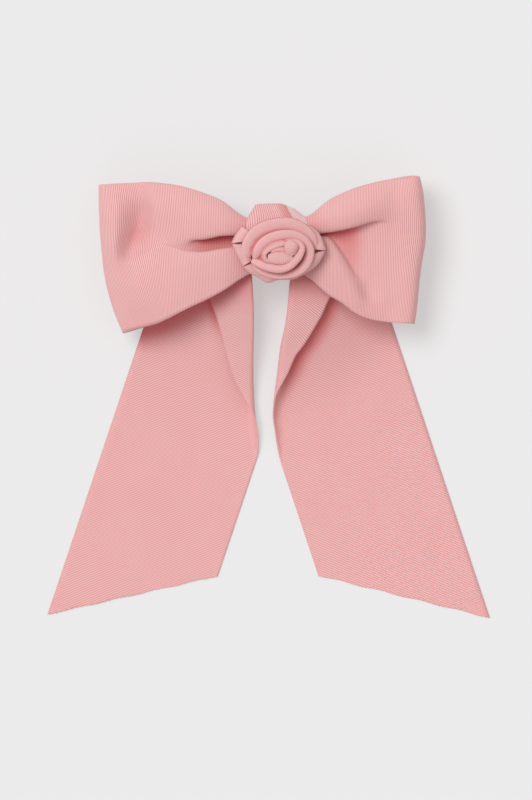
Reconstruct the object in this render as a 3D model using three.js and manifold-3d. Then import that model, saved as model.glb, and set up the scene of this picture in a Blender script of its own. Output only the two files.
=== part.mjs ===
// A ribbon bow barrette: a gathered bow of wide ribbed ribbon with two long tails and a rolled
// ribbon rosette, sewn to a sprung steel hair clip. It lies face up on its clip and its tails.
// Millimetres, +Z up. The origin is the middle of the bow's outline, on the surface it lies on.
import * as THREE from "three";
import { mergeVertices } from "three/addons/utils/BufferGeometryUtils.js";
import Module from "manifold-3d";

const wasm = await Module();
wasm.setup();

// ---- Driving dimensions ----
const RIBBON_THICKNESS = 1.0; // the soft pieces' solids are a little thicker than the 0.4 mm cloth
const GAP = 0.3; // between pieces that lie on each other
const KNOT = { x: 3, y: 61.5 }; // the middle of the knot, and of the clip behind it

// The clip's base plate is arched in side view, with a rolled lip along each side.
const PLATE = {
  half: 40, width: 9, thickness: 0.8, radius: 110, endZ: 6.8, lip: 0.8, lipWidth: 0.5, corner: 4,
};
const ARCH_Z = PLATE.endZ - Math.sqrt(PLATE.radius ** 2 - PLATE.half ** 2); // the arch's centre
const SEWING_HOLE = { x: 37.6, radius: 0.9 };

const HINGE = { x: -34, z: 2.9, pinRadius: 0.7, holeRadius: 0.92 };
const PIN_HEAD = { radius: 1.15, start: 0.25, end: 0.7 }; // measured out from the ears
const EAR = { y: 3.2, thickness: 0.7, halfWidth: 2.3, corner: 1.4, top: 9 };

// The clasp arm is a shallow channel whose flat head has the catch's window.
const ARM = { half: 34, radius: 260, endZ: 2.0, width: 5.2, web: 0.6, wall: 0.6, height: 1.5, knuckle: 1.65 };
const ARM_ARCH_Z = ARM.endZ - Math.sqrt(ARM.radius ** 2 - ARM.half ** 2);
const ARM_START = { channel: HINGE.x + 0.6, web: HINGE.x + 2.1 };
const ARM_HEAD = { x0: 29.5, x1: 39.5, width: 7.8, thickness: 0.8, corner: 2.6, lap: 1 };

const CATCH = { x: 34, window: 4.6, prongOuter: 1.6, prongThickness: 0.5, prongWidth: 2.4 };
const PRONG = { rootZ: 7.8, barbDepth: 0.5, barbTop: 1.6, barbBottom: 0.7, barbSlope: 0.3 };
const BRACKET = { x0: 28.6, x1: 36.4, width: 6.4, thickness: 0.5, corner: 1.6 };
const RIVET = { x: 30.6, shank: 0.9, head: 1.5, headThickness: 0.45, clearance: 0.25 };

// The tension leaf springs up from a curl round the hinge pin, through a narrow neck.
const LEAF = { radius: 200, midZ: 10.6, thickness: 0.4, tipX: 27, width: 4.4, neck: 3.0, curl: 1.5 };
const LEAF_ROOT = { rearX: -36, barX: -31.4, neckX: -29, shoulderX: -26 };
const LEAF_NECK = [
  [-35.45, 3.2], [-35.05, 3.2], [-35.05, 6.8], [-34.3, 7.5],
  [-30.8, 8.2], [-30.8, 8.6], [-34.6, 7.9], [-35.45, 7.0],
];

const LINING = { half: 39.5, width: 10.4, thickness: 0.8, corner: 3 };
// A stitch's side outline at the plate's end, as distances from its middle and heights.
const STITCH = {
  thread: 0.7,
  outer: [[37.25, 5.3], [41.1, 4.9], [41.1, 9.9], [37.25, 10.8]],
  inner: [[37.95, 6.0], [37.95, 10], [40.4, 9.2], [40.4, 5.6]],
};
const BAND = { width: 24.8, innerLength: 24, innerHeight: 7.2, thickness: 1.0, bottomZ: 18.2, corner: 2.6 };
const GATHER = {
  width: 1.6, thickness: 0.6, innerLength: 21.6, innerHeight: 5.4, bottomZ: 19.5, corner: 1.6,
};

// The rosette's turns are ovals: each profile is a share of the reach and a height over the knot.
const ROSETTE = { x: 2.8, y: 59, z: 27.4, reachX: 18.5, reachY: 12.6 };
const ROSETTE_BACKING = [[0, 0.3], [0.8, 0.3], [0.8, 0.8], [0, 0.8]];
const ROSETTE_PETALS = [
  [0.74, 1.2], [0.9, 1.4], [1, 3.6], [0.94, 6.4], [0.84, 7.4], [0.76, 6.6], [0.74, 1.2],
];
const ROSETTE_COIL = [
  [0.34, 1.2], [0.7, 1.2], [0.72, 8], [0.62, 10.4], [0.48, 11.2], [0.36, 10.2], [0.34, 1.2],
];
const ROSETTE_BUD = [[0, 1.2], [0.3, 1.2], [0.32, 8.6], [0.24, 10.8], [0, 11.6]];

// ---- How finely curves are built, and how far cutters reach past the clip ----
const STEPS = { arc: 10, plate: 22, arm: 18, leaf: 16, short: 6, ribbon: 26, fold: 12, turn: 28 };
const REACH = { below: -10, above: 30, side: 8, deepRadius: 60 };

// ---- Materials ----
const ribbonPink = new THREE.MeshStandardMaterial({ color: 0xe8aeac, roughness: 0.85 });
const satinPink = new THREE.MeshStandardMaterial({ color: 0xe3a9a7, roughness: 0.8 });
const feltPink = new THREE.MeshStandardMaterial({ color: 0xdc9c9b, roughness: 0.95 });
const threadPink = new THREE.MeshStandardMaterial({ color: 0xe0a09f, roughness: 0.7 });
const nickelSteel = new THREE.MeshStandardMaterial({ color: 0xc9cace, roughness: 0.25, metalness: 1 });
const springSteel = new THREE.MeshStandardMaterial({ color: 0xb5b7bb, roughness: 0.3, metalness: 1 });

// ---- Solids ----
function toSolid(geometry) {
  const bare = geometry.index ? geometry.toNonIndexed() : geometry.clone();
  bare.deleteAttribute("normal");
  bare.deleteAttribute("uv");
  const merged = mergeVertices(bare, 1e-4);
  return new wasm.Manifold(
    new wasm.Mesh({
      numProp: 3,
      vertProperties: new Float32Array(merged.attributes.position.array),
      triVerts: new Uint32Array(merged.index.array),
    }),
  );
}

function toGeometry(solid) {
  const mesh = solid.getMesh();
  const geometry = new THREE.BufferGeometry();
  geometry.setAttribute("position", new THREE.BufferAttribute(new Float32Array(mesh.vertProperties), 3));
  geometry.setIndex(new THREE.BufferAttribute(new Uint32Array(mesh.triVerts), 1));
  geometry.computeVertexNormals();
  return geometry;
}

const join = (...geometries) => toGeometry(geometries.map(toSolid).reduce((a, b) => a.add(b)));
const cut = (geometry, ...tools) =>
  toGeometry(tools.map(toSolid).reduce((a, b) => a.subtract(b), toSolid(geometry)));
const common = (a, b) => toGeometry(toSolid(a).intersect(toSolid(b)));

// A side profile in X and Z, extruded evenly to both sides of y.
function sideways(shape, width, y = 0) {
  return new THREE.ExtrudeGeometry(shape, { depth: width, bevelEnabled: false, curveSegments: STEPS.arc })
    .rotateX(Math.PI / 2)
    .translate(0, y + width / 2, 0);
}

// A plan outline in X and Y, extruded upwards through everything.
function upwards(shape) {
  const depth = REACH.above - REACH.below;
  const options = { depth, bevelEnabled: false, curveSegments: STEPS.arc };
  return new THREE.ExtrudeGeometry(shape, options).translate(0, 0, REACH.below);
}

// A strip with rounded ends in plan, from x0 to x1.
function roundedStrip(x0, x1, width, corner) {
  const h = width / 2;
  return new THREE.Shape()
    .moveTo(x0 + corner, -h)
    .lineTo(x1 - corner, -h)
    .absarc(x1 - corner, -h + corner, corner, -Math.PI / 2, 0)
    .lineTo(x1, h - corner)
    .absarc(x1 - corner, h - corner, corner, 0, Math.PI / 2)
    .lineTo(x0 + corner, h)
    .absarc(x0 + corner, h - corner, corner, Math.PI / 2, Math.PI)
    .lineTo(x0, -h + corner)
    .absarc(x0 + corner, -h + corner, corner, Math.PI, 1.5 * Math.PI);
}

// An outline or a hole through a list of [x, y] points.
function outlined(path, points) {
  path.setFromPoints(points.map(([x, y]) => new THREE.Vector2(x, y)));
  return path;
}

// A curved slab between two radii about a centre at height centreZ.
function archSlab(x0, x1, inner, outer, centreZ, width, steps) {
  const along = Array.from({ length: steps + 1 }, (_, i) => x0 + ((x1 - x0) * i) / steps);
  const at = (x, r) => new THREE.Vector2(x, centreZ + Math.sqrt(r * r - x * x));
  const points = [...along.map((x) => at(x, inner)), ...along.reverse().map((x) => at(x, outer))];
  return sideways(new THREE.Shape(points), width);
}

// An upright post at x, or a cutter through the whole clip where it has no heights.
function post(x, r, z0 = 0, z1 = REACH.above) {
  return new THREE.CylinderGeometry(r, r, z1 - z0, 16).rotateX(Math.PI / 2).translate(x, 0, (z0 + z1) / 2);
}

// A rod along Y about the hinge's axis, or a cutter through the whole clip where it has no ends.
function hingeRod(r, y0 = -REACH.side, y1 = REACH.side) {
  return new THREE.CylinderGeometry(r, r, y1 - y0, 20).translate(HINGE.x, (y0 + y1) / 2, HINGE.z);
}

function block(x0, x1, y0, y1, z0, z1) {
  const solid = new THREE.BoxGeometry(x1 - x0, y1 - y0, z1 - z0);
  return solid.translate((x0 + x1) / 2, (y0 + y1) / 2, (z0 + z1) / 2);
}

// A cloth-like slab of even thickness through a net of points: rows run across it, one after another.
function clothSlab(rows, thickness = RIBBON_THICKNESS) {
  const across = rows[0].length;
  const within = (i, count) => Math.min(Math.max(i, 0), count - 1);
  const point = (i, j) => rows[within(i, rows.length)][within(j, across)];
  const positions = [];
  const normalAt = (i, j) => {
    const along = point(i + 1, j).clone().sub(point(i - 1, j));
    const sideStep = point(i, j + 1).clone().sub(point(i, j - 1));
    return along.cross(sideStep).normalize();
  };
  for (const side of [0.5, -0.5])
    rows.forEach((row, i) =>
      row.forEach((p, j) => {
        const out = normalAt(i, j).multiplyScalar(side * thickness);
        positions.push(...p.clone().add(out).toArray());
      }),
    );
  const index = [];
  const id = (side, i, j) => side * rows.length * across + i * across + j;
  const quad = (a, b, c, d) => index.push(a, b, c, a, c, d);
  for (let i = 0; i + 1 < rows.length; i++) {
    for (let j = 0; j + 1 < across; j++) {
      quad(id(0, i, j), id(0, i + 1, j), id(0, i + 1, j + 1), id(0, i, j + 1));
      quad(id(1, i, j), id(1, i, j + 1), id(1, i + 1, j + 1), id(1, i + 1, j));
    }
    quad(id(0, i, 0), id(1, i, 0), id(1, i + 1, 0), id(0, i + 1, 0));
    quad(id(0, i, across - 1), id(0, i + 1, across - 1), id(1, i + 1, across - 1), id(1, i, across - 1));
  }
  const last = rows.length - 1;
  for (let j = 0; j + 1 < across; j++) {
    quad(id(0, 0, j), id(0, 0, j + 1), id(1, 0, j + 1), id(1, 0, j));
    quad(id(0, last, j), id(1, last, j), id(1, last, j + 1), id(0, last, j + 1));
  }
  const geometry = new THREE.BufferGeometry();
  geometry.setAttribute("position", new THREE.BufferAttribute(new Float32Array(positions), 3));
  geometry.setIndex(index);
  return geometry;
}

// Rows of a ribbon between two edge lines, each smoothed to the same number of steps.
function ribbonRows(edgeA, edgeB, steps, across) {
  const curve = (line) =>
    new THREE.CatmullRomCurve3(line.map((p) => new THREE.Vector3(...p)), false, "centripetal");
  const a = curve(edgeA).getPoints(steps);
  const b = curve(edgeB).getPoints(steps);
  return a.map((p, i) => Array.from({ length: across + 1 }, (_, j) => p.clone().lerp(b[i], j / across)));
}

function named(name, geometry, material) {
  const mesh = new THREE.Mesh(geometry, material);
  mesh.name = name;
  return mesh;
}

// ---- The hair clip, in its own frame: the hinge at -X, the catch at +X ----
function basePlate() {
  const { half, width, thickness, radius, lip, lipWidth, corner } = PLATE;
  const middle = radius + thickness / 2;
  const strip = archSlab(-half, half, radius, radius + thickness, ARCH_Z, width, STEPS.plate);
  const lips = [-1, 1].map((side) =>
    archSlab(-half, half, radius - lip, middle, ARCH_Z, lipWidth, STEPS.plate)
      .translate(0, (side * (width - lipWidth)) / 2, 0),
  );
  const pressed = common(join(strip, ...lips), upwards(roundedStrip(-half, half, width, corner)));
  const ear = new THREE.Shape()
    .moveTo(-EAR.halfWidth, EAR.top)
    .lineTo(-EAR.halfWidth, EAR.corner)
    .absarc(-EAR.halfWidth + EAR.corner, EAR.corner, EAR.corner, Math.PI, 1.5 * Math.PI)
    .lineTo(EAR.halfWidth - EAR.corner, 0)
    .absarc(EAR.halfWidth - EAR.corner, EAR.corner, EAR.corner, -Math.PI / 2, 0)
    .lineTo(EAR.halfWidth, EAR.top);
  const underPlate = archSlab(-half, half, REACH.deepRadius, middle, ARCH_Z, width, STEPS.plate);
  const ears = [-1, 1].map((side) => {
    const tab = sideways(ear, EAR.thickness, side * (EAR.y + EAR.thickness / 2)).translate(HINGE.x, 0, 0);
    return cut(common(tab, underPlate), hingeRod(HINGE.holeRadius));
  });
  return cut(join(pressed, ...ears), ...sewingHoles(), post(RIVET.x, RIVET.shank + RIVET.clearance));
}

function sewingHoles() {
  return [-1, 1].map((side) => post(side * SEWING_HOLE.x, SEWING_HOLE.radius));
}

function hingePin() {
  const ends = EAR.y + EAR.thickness;
  const { radius, start, end } = PIN_HEAD;
  const middle = (start + end) / 2;
  return join(
    hingeRod(HINGE.pinRadius, -ends - middle, ends + middle),
    hingeRod(radius, -ends - end, -ends - start),
    hingeRod(radius, ends + start, ends + end),
  );
}

function claspArm() {
  const { radius, width, web, wall, height, knuckle } = ARM;
  const { x0, x1, thickness, corner, lap } = ARM_HEAD;
  const inside = width / 2 - wall;
  const channel = cut(
    archSlab(ARM_START.channel, x0 + lap, radius, radius + height, ARM_ARCH_Z, width, STEPS.arm),
    archSlab(-PLATE.half, x0 + 2 * lap, radius + web, radius + 2 * height, ARM_ARCH_Z, 2 * inside, STEPS.arm),
    block(-PLATE.half, ARM_START.web, -inside, inside, 0, REACH.side),
  );
  const knuckles = [-1, 1].map((side) => {
    const faces = [side * inside, (side * width) / 2].sort((a, b) => a - b);
    return hingeRod(knuckle, ...faces);
  });
  const head = common(
    archSlab(x0, x1, radius, radius + thickness, ARM_ARCH_Z, ARM_HEAD.width, STEPS.short),
    upwards(roundedStrip(x0, x1, ARM_HEAD.width, corner)),
  );
  const opening = CATCH.window / 2;
  const window = block(CATCH.x - opening, CATCH.x + opening, -opening, opening, 0, REACH.side);
  return cut(join(channel, head, ...knuckles), hingeRod(HINGE.holeRadius), window);
}

function tensionLeaf() {
  const centreZ = LEAF.midZ - LEAF.radius;
  const { rearX, barX, neckX, shoulderX } = LEAF_ROOT;
  const outside = LEAF.radius + LEAF.thickness;
  const bar = archSlab(barX, LEAF.tipX, LEAF.radius, outside, centreZ, LEAF.width, STEPS.leaf);
  const h = LEAF.width / 2;
  const n = LEAF.neck / 2;
  const outline = new THREE.Shape()
    .moveTo(rearX, -n)
    .lineTo(neckX, -n)
    .lineTo(shoulderX, -h)
    .lineTo(LEAF.tipX - h, -h)
    .absarc(LEAF.tipX - h, 0, h, -Math.PI / 2, Math.PI / 2)
    .lineTo(shoulderX, h)
    .lineTo(neckX, n)
    .lineTo(rearX, n);
  const neck = sideways(outlined(new THREE.Shape(), LEAF_NECK), LEAF.neck);
  const joined = join(common(bar, upwards(outline)), hingeRod(LEAF.curl, -n, n), neck);
  return cut(joined, hingeRod(HINGE.holeRadius));
}

function catchBracket() {
  const outer = PLATE.radius - GAP;
  const { x0, x1, width, thickness, corner } = BRACKET;
  const slab = archSlab(x0, x1, outer - thickness, outer, ARCH_Z, width, STEPS.short);
  const trimmed = common(slab, upwards(roundedStrip(x0, x1, width, corner)));
  return cut(trimmed, post(RIVET.x, RIVET.shank + RIVET.clearance));
}

// side is -1 for the prong at the front and 1 for the one at the rear.
function catchProng(side) {
  const inner = CATCH.prongOuter - CATCH.prongThickness;
  const { rootZ, barbDepth, barbTop, barbBottom, barbSlope } = PRONG;
  const profile = new THREE.Shape()
    .moveTo(inner, 0)
    .lineTo(CATCH.prongOuter, 0)
    .lineTo(CATCH.prongOuter, barbBottom - barbSlope)
    .lineTo(CATCH.prongOuter + barbDepth, barbTop - barbSlope)
    .lineTo(CATCH.prongOuter, barbTop)
    .lineTo(CATCH.prongOuter, rootZ)
    .lineTo(inner, rootZ);
  const turned = new THREE.ExtrudeGeometry(profile, { depth: CATCH.prongWidth, bevelEnabled: false })
    .rotateX(Math.PI / 2)
    .rotateZ(Math.PI / 2)
    .translate(CATCH.x - CATCH.prongWidth / 2, 0, 0);
  return side > 0 ? turned : turned.rotateZ(Math.PI).translate(2 * CATCH.x, 0, 0);
}

function catchRivet() {
  const heightAt = (radius, x) => ARCH_Z + Math.sqrt(radius ** 2 - x ** 2);
  const plateTop = heightAt(PLATE.radius + PLATE.thickness, RIVET.x);
  const headTop = heightAt(PLATE.radius - GAP - BRACKET.thickness, RIVET.x + RIVET.head) - GAP;
  const headBottom = headTop - RIVET.headThickness;
  return join(
    post(RIVET.x, RIVET.shank, headBottom, plateTop - GAP),
    post(RIVET.x, RIVET.head, headBottom, headTop),
  );
}

function lining() {
  const inner = PLATE.radius + PLATE.thickness + GAP;
  const { half, width, thickness, corner } = LINING;
  const strip = archSlab(-half, half, inner, inner + thickness, ARCH_Z, width, STEPS.plate);
  const trimmed = common(strip, upwards(roundedStrip(-half, half, width, corner)));
  return cut(trimmed, ...sewingHoles());
}

// A wrap of sewing thread through a hole at one end of the plate and round its end.
function sewingLoop(side) {
  const outline = outlined(new THREE.Shape(), STITCH.outer);
  outline.holes.push(outlined(new THREE.Path(), STITCH.inner));
  const wrap = sideways(outline, STITCH.thread);
  return side > 0 ? wrap : wrap.rotateZ(Math.PI);
}

// ---- The bow ----
// A rectangular ring with rounded corners, in Y and Z, that runs round the gathers.
function wrapRing({ width, innerLength, innerHeight, thickness, bottomZ, corner }) {
  const ring = (path, length, height, r, low) => {
    const h = length / 2;
    return path
      .moveTo(-h + r, low)
      .lineTo(h - r, low)
      .absarc(h - r, low + r, r, -Math.PI / 2, 0)
      .lineTo(h, low + height - r)
      .absarc(h - r, low + height - r, r, 0, Math.PI / 2)
      .lineTo(-h + r, low + height)
      .absarc(-h + r, low + height - r, r, Math.PI / 2, Math.PI)
      .lineTo(-h, low + r)
      .absarc(-h + r, low + r, r, Math.PI, 1.5 * Math.PI);
  };
  const twice = 2 * thickness;
  const [length, height] = [innerLength + twice, innerHeight + twice];
  const shape = ring(new THREE.Shape(), length, height, corner + thickness, bottomZ);
  shape.holes.push(ring(new THREE.Path(), innerLength, innerHeight, corner, bottomZ + thickness));
  return sideways(shape, width).rotateZ(Math.PI / 2);
}

// The edges of each ribbon piece, as points [x, y, z], starting inside the knot.
const LOOP_LEFT = {
  lower: [
    [2.4, 52, 24.3], [-10, 51.5, 24.3], [-24, 43, 24.6], [-44, 32, 21], [-57.5, 26.6, 14.8],
    [-59.8, 25.8, 11], [-57.5, 26.6, 7.4], [-44, 32, 9.6], [-24, 43, 15.6], [-10, 51.5, 20.6], [2.4, 52, 21],
  ],
  upper: [
    [2.4, 71, 24.3], [-10, 72, 24.3], [-25, 80.5, 24.6], [-46, 87, 20], [-66, 85.2, 13.4],
    [-68.6, 84.6, 10], [-66, 85.2, 6.8], [-46, 87, 9.4], [-25, 80.5, 15.6], [-10, 72, 20.6], [2.4, 71, 21],
  ],
};
const LOOP_RIGHT = {
  lower: [
    [3.6, 52, 24.3], [16, 51.5, 24.3], [28, 44.5, 24.8], [43, 34.5, 21.5], [56.4, 30.2, 16.4],
    [58.6, 29.8, 12.4], [56.4, 30.2, 8.8], [43, 34.5, 12.2],
    [28, 44.5, 15.6], [16, 51.5, 20.6], [3.6, 52, 21],
  ],
  upper: [
    [3.6, 71, 24.3], [16, 72.5, 24.3], [29, 80, 25], [44, 85.5, 22], [59.4, 87.8, 17.4],
    [61.6, 88.2, 13.4], [59.4, 87.8, 9.8], [44, 85.5, 12.6], [29, 80, 15.6], [16, 72.5, 20.6], [3.6, 71, 21],
  ],
};
// Each tail has its outer and inner edges, and the free edge of the part that is folded over in front.
const TAIL_LEFT = {
  outer: [
    [-7.5, 66, 17.2], [-8.5, 52, 17.2], [-17, 45, 13.6], [-33, 37.5, 7.6], [-49, 30, 3.6], [-56, 17.5, 1.4],
    [-64, -8, 0.5], [-75, -43, 0.5], [-88.6, -86.6, 0.5],
  ],
  inner: [
    [1.5, 66, 17.2], [0.5, 52, 17.2], [-7.4, 45, 15.6], [-6.6, 35, 12.5], [-5.4, 24, 8.8], [-4.6, 8, 4.6],
    [-4.4, -12, 1.4], [-9, -31, 0.5], [-21.4, -71.4, 0.5],
  ],
  foldInner: [[-7.4, 41, 15.2], [-6.8, 34, 12.9], [-5.6, 25, 9.9], [-4.8, 9, 5.6], [-4.6, -11, 2.3]],
  foldFree: [[-21, 39.6, 15.4], [-21.6, 34, 14], [-19.4, 24, 11.4], [-14.2, 7, 7.4], [-8.2, -12, 2.9]],
};
const TAIL_RIGHT = {
  outer: [
    [13.5, 66, 17.2], [14.5, 52, 17.2], [21, 45.5, 13.6], [35, 38, 7.6], [50.6, 31, 3.6], [57, 13, 1.4],
    [63, -6, 0.5], [74, -42, 0.5], [88.6, -88.2, 0.5],
  ],
  inner: [
    [4.5, 66, 17.2], [5.5, 52, 17.2], [7.8, 45, 15.6], [6.6, 35, 12.5], [5, 24, 8.8], [2.4, 8, 4.6],
    [0.8, -8, 1.6], [4.6, -26, 0.5], [18.4, -72.4, 0.5],
  ],
  foldInner: [[7.6, 41, 15.2], [6.8, 34, 12.9], [5.3, 25, 9.9], [2.9, 10, 5.8], [2.1, 1, 4.2]],
  foldFree: [[19.6, 39.6, 15.4], [18.4, 34, 14], [13.6, 24, 11.4], [7, 10, 7], [4.6, 2.5, 4.9]],
};

function loop(edges) {
  return clothSlab(ribbonRows(edges.lower, edges.upper, STEPS.ribbon, 5));
}

function tail(edges) {
  const sheet = clothSlab(ribbonRows(edges.outer, edges.inner, STEPS.ribbon, 4));
  const foldedPart = clothSlab(ribbonRows(edges.foldInner, edges.foldFree, STEPS.fold, 3));
  return join(sheet, foldedPart);
}

// A turned ring or dome of the rosette, made oval by its mesh's scale.
function rosetteTurn(name, profile, material) {
  const points = profile.map(([r, z]) => new THREE.Vector2(r, z));
  const mesh = named(name, new THREE.LatheGeometry(points, STEPS.turn).rotateX(Math.PI / 2), material);
  mesh.scale.set(ROSETTE.reachX, ROSETTE.reachY, 1);
  mesh.position.set(ROSETTE.x, ROSETTE.y, ROSETTE.z);
  return mesh;
}

// ---- The assembly ----
const barrette = new THREE.Group();

const clip = new THREE.Group();
clip.position.set(KNOT.x, KNOT.y, 0);
barrette.add(clip);
clip.add(named("base_plate", basePlate(), nickelSteel));
clip.add(named("hinge_pin", hingePin(), nickelSteel));
clip.add(named("clasp_arm", claspArm(), nickelSteel));
clip.add(named("tension_spring", tensionLeaf(), springSteel));
clip.add(named("catch_bracket", catchBracket(), springSteel));
clip.add(named("catch_prong_front", catchProng(-1), springSteel));
clip.add(named("catch_prong_rear", catchProng(1), springSteel));
clip.add(named("catch_rivet", catchRivet(), nickelSteel));
clip.add(named("lining_felt", lining(), feltPink));
clip.add(named("stitch_left", sewingLoop(-1), threadPink));
clip.add(named("stitch_right", sewingLoop(1), threadPink));
clip.add(named("knot_band", wrapRing(BAND), ribbonPink));
clip.add(named("gather_thread", wrapRing(GATHER), threadPink));

barrette.add(named("loop_left", loop(LOOP_LEFT), ribbonPink));
barrette.add(named("loop_right", loop(LOOP_RIGHT), ribbonPink));
barrette.add(named("tail_left", tail(TAIL_LEFT), ribbonPink));
barrette.add(named("tail_right", tail(TAIL_RIGHT), ribbonPink));

barrette.add(rosetteTurn("rosette_backing", ROSETTE_BACKING, feltPink));
barrette.add(rosetteTurn("rosette_outer_petals", ROSETTE_PETALS, ribbonPink));
barrette.add(rosetteTurn("rosette_coil", ROSETTE_COIL, satinPink));
barrette.add(rosetteTurn("rosette_bud", ROSETTE_BUD, satinPink));

export default barrette;
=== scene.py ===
"""A ribbon bow barrette: ribbed pink ribbon, a rolled rosette and a sprung steel clip.

Lengths in the classes of the sub-assemblies are millimetres, and so is a place on the ribbon. Everything
else in the finishes and the node trees is in metres. The bow's pieces are measured from the middle of the
knot, with heights from the surface that the barrette lies on.
"""

import logging
import math
from dataclasses import dataclass
from enum import Enum
from typing import Sequence

import bmesh
import bpy
import numpy as np
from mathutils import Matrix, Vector

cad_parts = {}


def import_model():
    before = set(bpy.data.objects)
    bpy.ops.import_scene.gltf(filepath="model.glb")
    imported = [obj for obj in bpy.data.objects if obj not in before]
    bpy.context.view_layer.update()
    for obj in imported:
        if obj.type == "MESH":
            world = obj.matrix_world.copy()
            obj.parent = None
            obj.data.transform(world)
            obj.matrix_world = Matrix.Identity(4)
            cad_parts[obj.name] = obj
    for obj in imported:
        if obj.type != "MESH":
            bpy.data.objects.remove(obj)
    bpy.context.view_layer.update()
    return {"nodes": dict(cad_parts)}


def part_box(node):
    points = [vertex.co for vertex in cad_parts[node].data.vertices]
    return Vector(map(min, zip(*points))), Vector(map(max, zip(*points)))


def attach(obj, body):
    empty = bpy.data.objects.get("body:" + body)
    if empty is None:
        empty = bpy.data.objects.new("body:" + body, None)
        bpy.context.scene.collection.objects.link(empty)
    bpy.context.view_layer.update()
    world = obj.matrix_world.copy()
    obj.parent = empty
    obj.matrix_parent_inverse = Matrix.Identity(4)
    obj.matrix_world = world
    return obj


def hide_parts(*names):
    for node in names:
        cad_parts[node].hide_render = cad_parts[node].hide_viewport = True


MM = 0.001
LOG = logging.getLogger("barrette")

Colour = tuple[float, float, float]
Numbers = Sequence[float]


class Side(Enum):
    """Which side of the knot a piece is on, seen from the front."""

    LEFT = -1
    RIGHT = 1


# ---------------------------------------------------------------------------------------------------
# Curves and sheets
# ---------------------------------------------------------------------------------------------------


def smooth_step(low: float, high: float, value: np.ndarray) -> np.ndarray:
    """Rise from 0 to 1 with level ends.

    Args:
        low: Where the rise starts.
        high: Where it ends.
        value: The places to evaluate.

    Returns:
        The share risen at each place.
    """
    t = np.clip((value - low) / (high - low), 0.0, 1.0)
    return t * t * (3.0 - 2.0 * t)


def smooth_curve(values: np.ndarray, knots: np.ndarray, at: np.ndarray) -> np.ndarray:
    """Pass a smooth curve through values and read it at new places.

    Args:
        values: The points, one for each knot along the first axis.
        knots: Rising parameters of the points.
        at: The parameters to read.

    Returns:
        The curve's points at those parameters.
    """
    flat = values.reshape(len(values), -1)
    gaps = np.diff(knots)[:, None]
    slopes = np.diff(flat, axis=0) / gaps
    inner = (slopes[:-1] * gaps[1:] + slopes[1:] * gaps[:-1]) / (gaps[:-1] + gaps[1:])
    tangents = np.vstack([slopes[:1], inner, slopes[-1:]])
    i = np.clip(np.searchsorted(knots, at, side="right") - 1, 0, len(knots) - 2)
    gap = gaps[i]
    t = (at[:, None] - knots[i, None]) / gap
    start = (1 + 2 * t) * (1 - t) ** 2 * flat[i] + t * (1 - t) ** 2 * gap * tangents[i]
    end = t * t * (3 - 2 * t) * flat[i + 1] + t * t * (t - 1) * gap * tangents[i + 1]
    return (start + end).reshape((len(at),) + values.shape[1:])


def softened(values: np.ndarray, row_reach: int, column_reach: int) -> np.ndarray:
    """Average a net of values with their neighbours, so that nothing in it changes suddenly.

    Args:
        values: The net.
        row_reach: How many rows to each side are taken in.
        column_reach: How many columns to each side are taken in.

    Returns:
        The softer net.
    """
    for axis, reach in enumerate((row_reach, column_reach)):
        weights = np.hanning(2 * reach + 3)[1:-1]
        padding = [(0, 0), (0, 0)]
        padding[axis] = (reach, reach)
        padded = np.pad(values, padding, mode="edge")
        values = np.apply_along_axis(np.convolve, axis, padded, weights / weights.sum(), mode="valid")
    return values


def run_lengths(points: np.ndarray) -> np.ndarray:
    """Measure how far along a line of points, or the mean of a row of lines, each step lies.

    Args:
        points: A line of points, or rows of points whose first axis is the line.

    Returns:
        The running length at each step, from 0.
    """
    steps = np.linalg.norm(np.diff(points, axis=0), axis=-1)
    if steps.ndim > 1:
        steps = steps.mean(axis=tuple(range(1, steps.ndim)))
    return np.concatenate([[0.0], np.cumsum(steps)])


@dataclass(frozen=True)
class RibbonStock:
    """The ribbon that the bow is made of, and how finely its surface is built."""

    width: float = 60.0
    thickness: float = 0.42
    rib_pitch: float = 0.677
    rib_depth: float = 0.06
    rows_per_rib: int = 3
    scallop: float = 0.14

    @property
    def row_step(self) -> float:
        """Length of ribbon between two rows of the surface."""
        return self.rib_pitch / self.rows_per_rib

    def scalloped(self, points: np.ndarray, along: np.ndarray) -> np.ndarray:
        """Let each rib's ends stand out a little from the ribbon's two long edges.

        Args:
            points: The ribbon's net of points.
            along: Length along the ribbon of each row.

        Returns:
            The net with scalloped edges.
        """
        run = along.reshape(len(points), -1)[:, :1]
        wave = self.scallop * np.abs(np.sin(run * math.pi / self.rib_pitch))
        for edge, inner in ((0, 1), (-1, -2)):
            outward = points[:, edge] - points[:, inner]
            outward = outward / np.linalg.norm(outward, axis=1, keepdims=True)
            points[:, edge] += outward * wave
        return points


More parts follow.
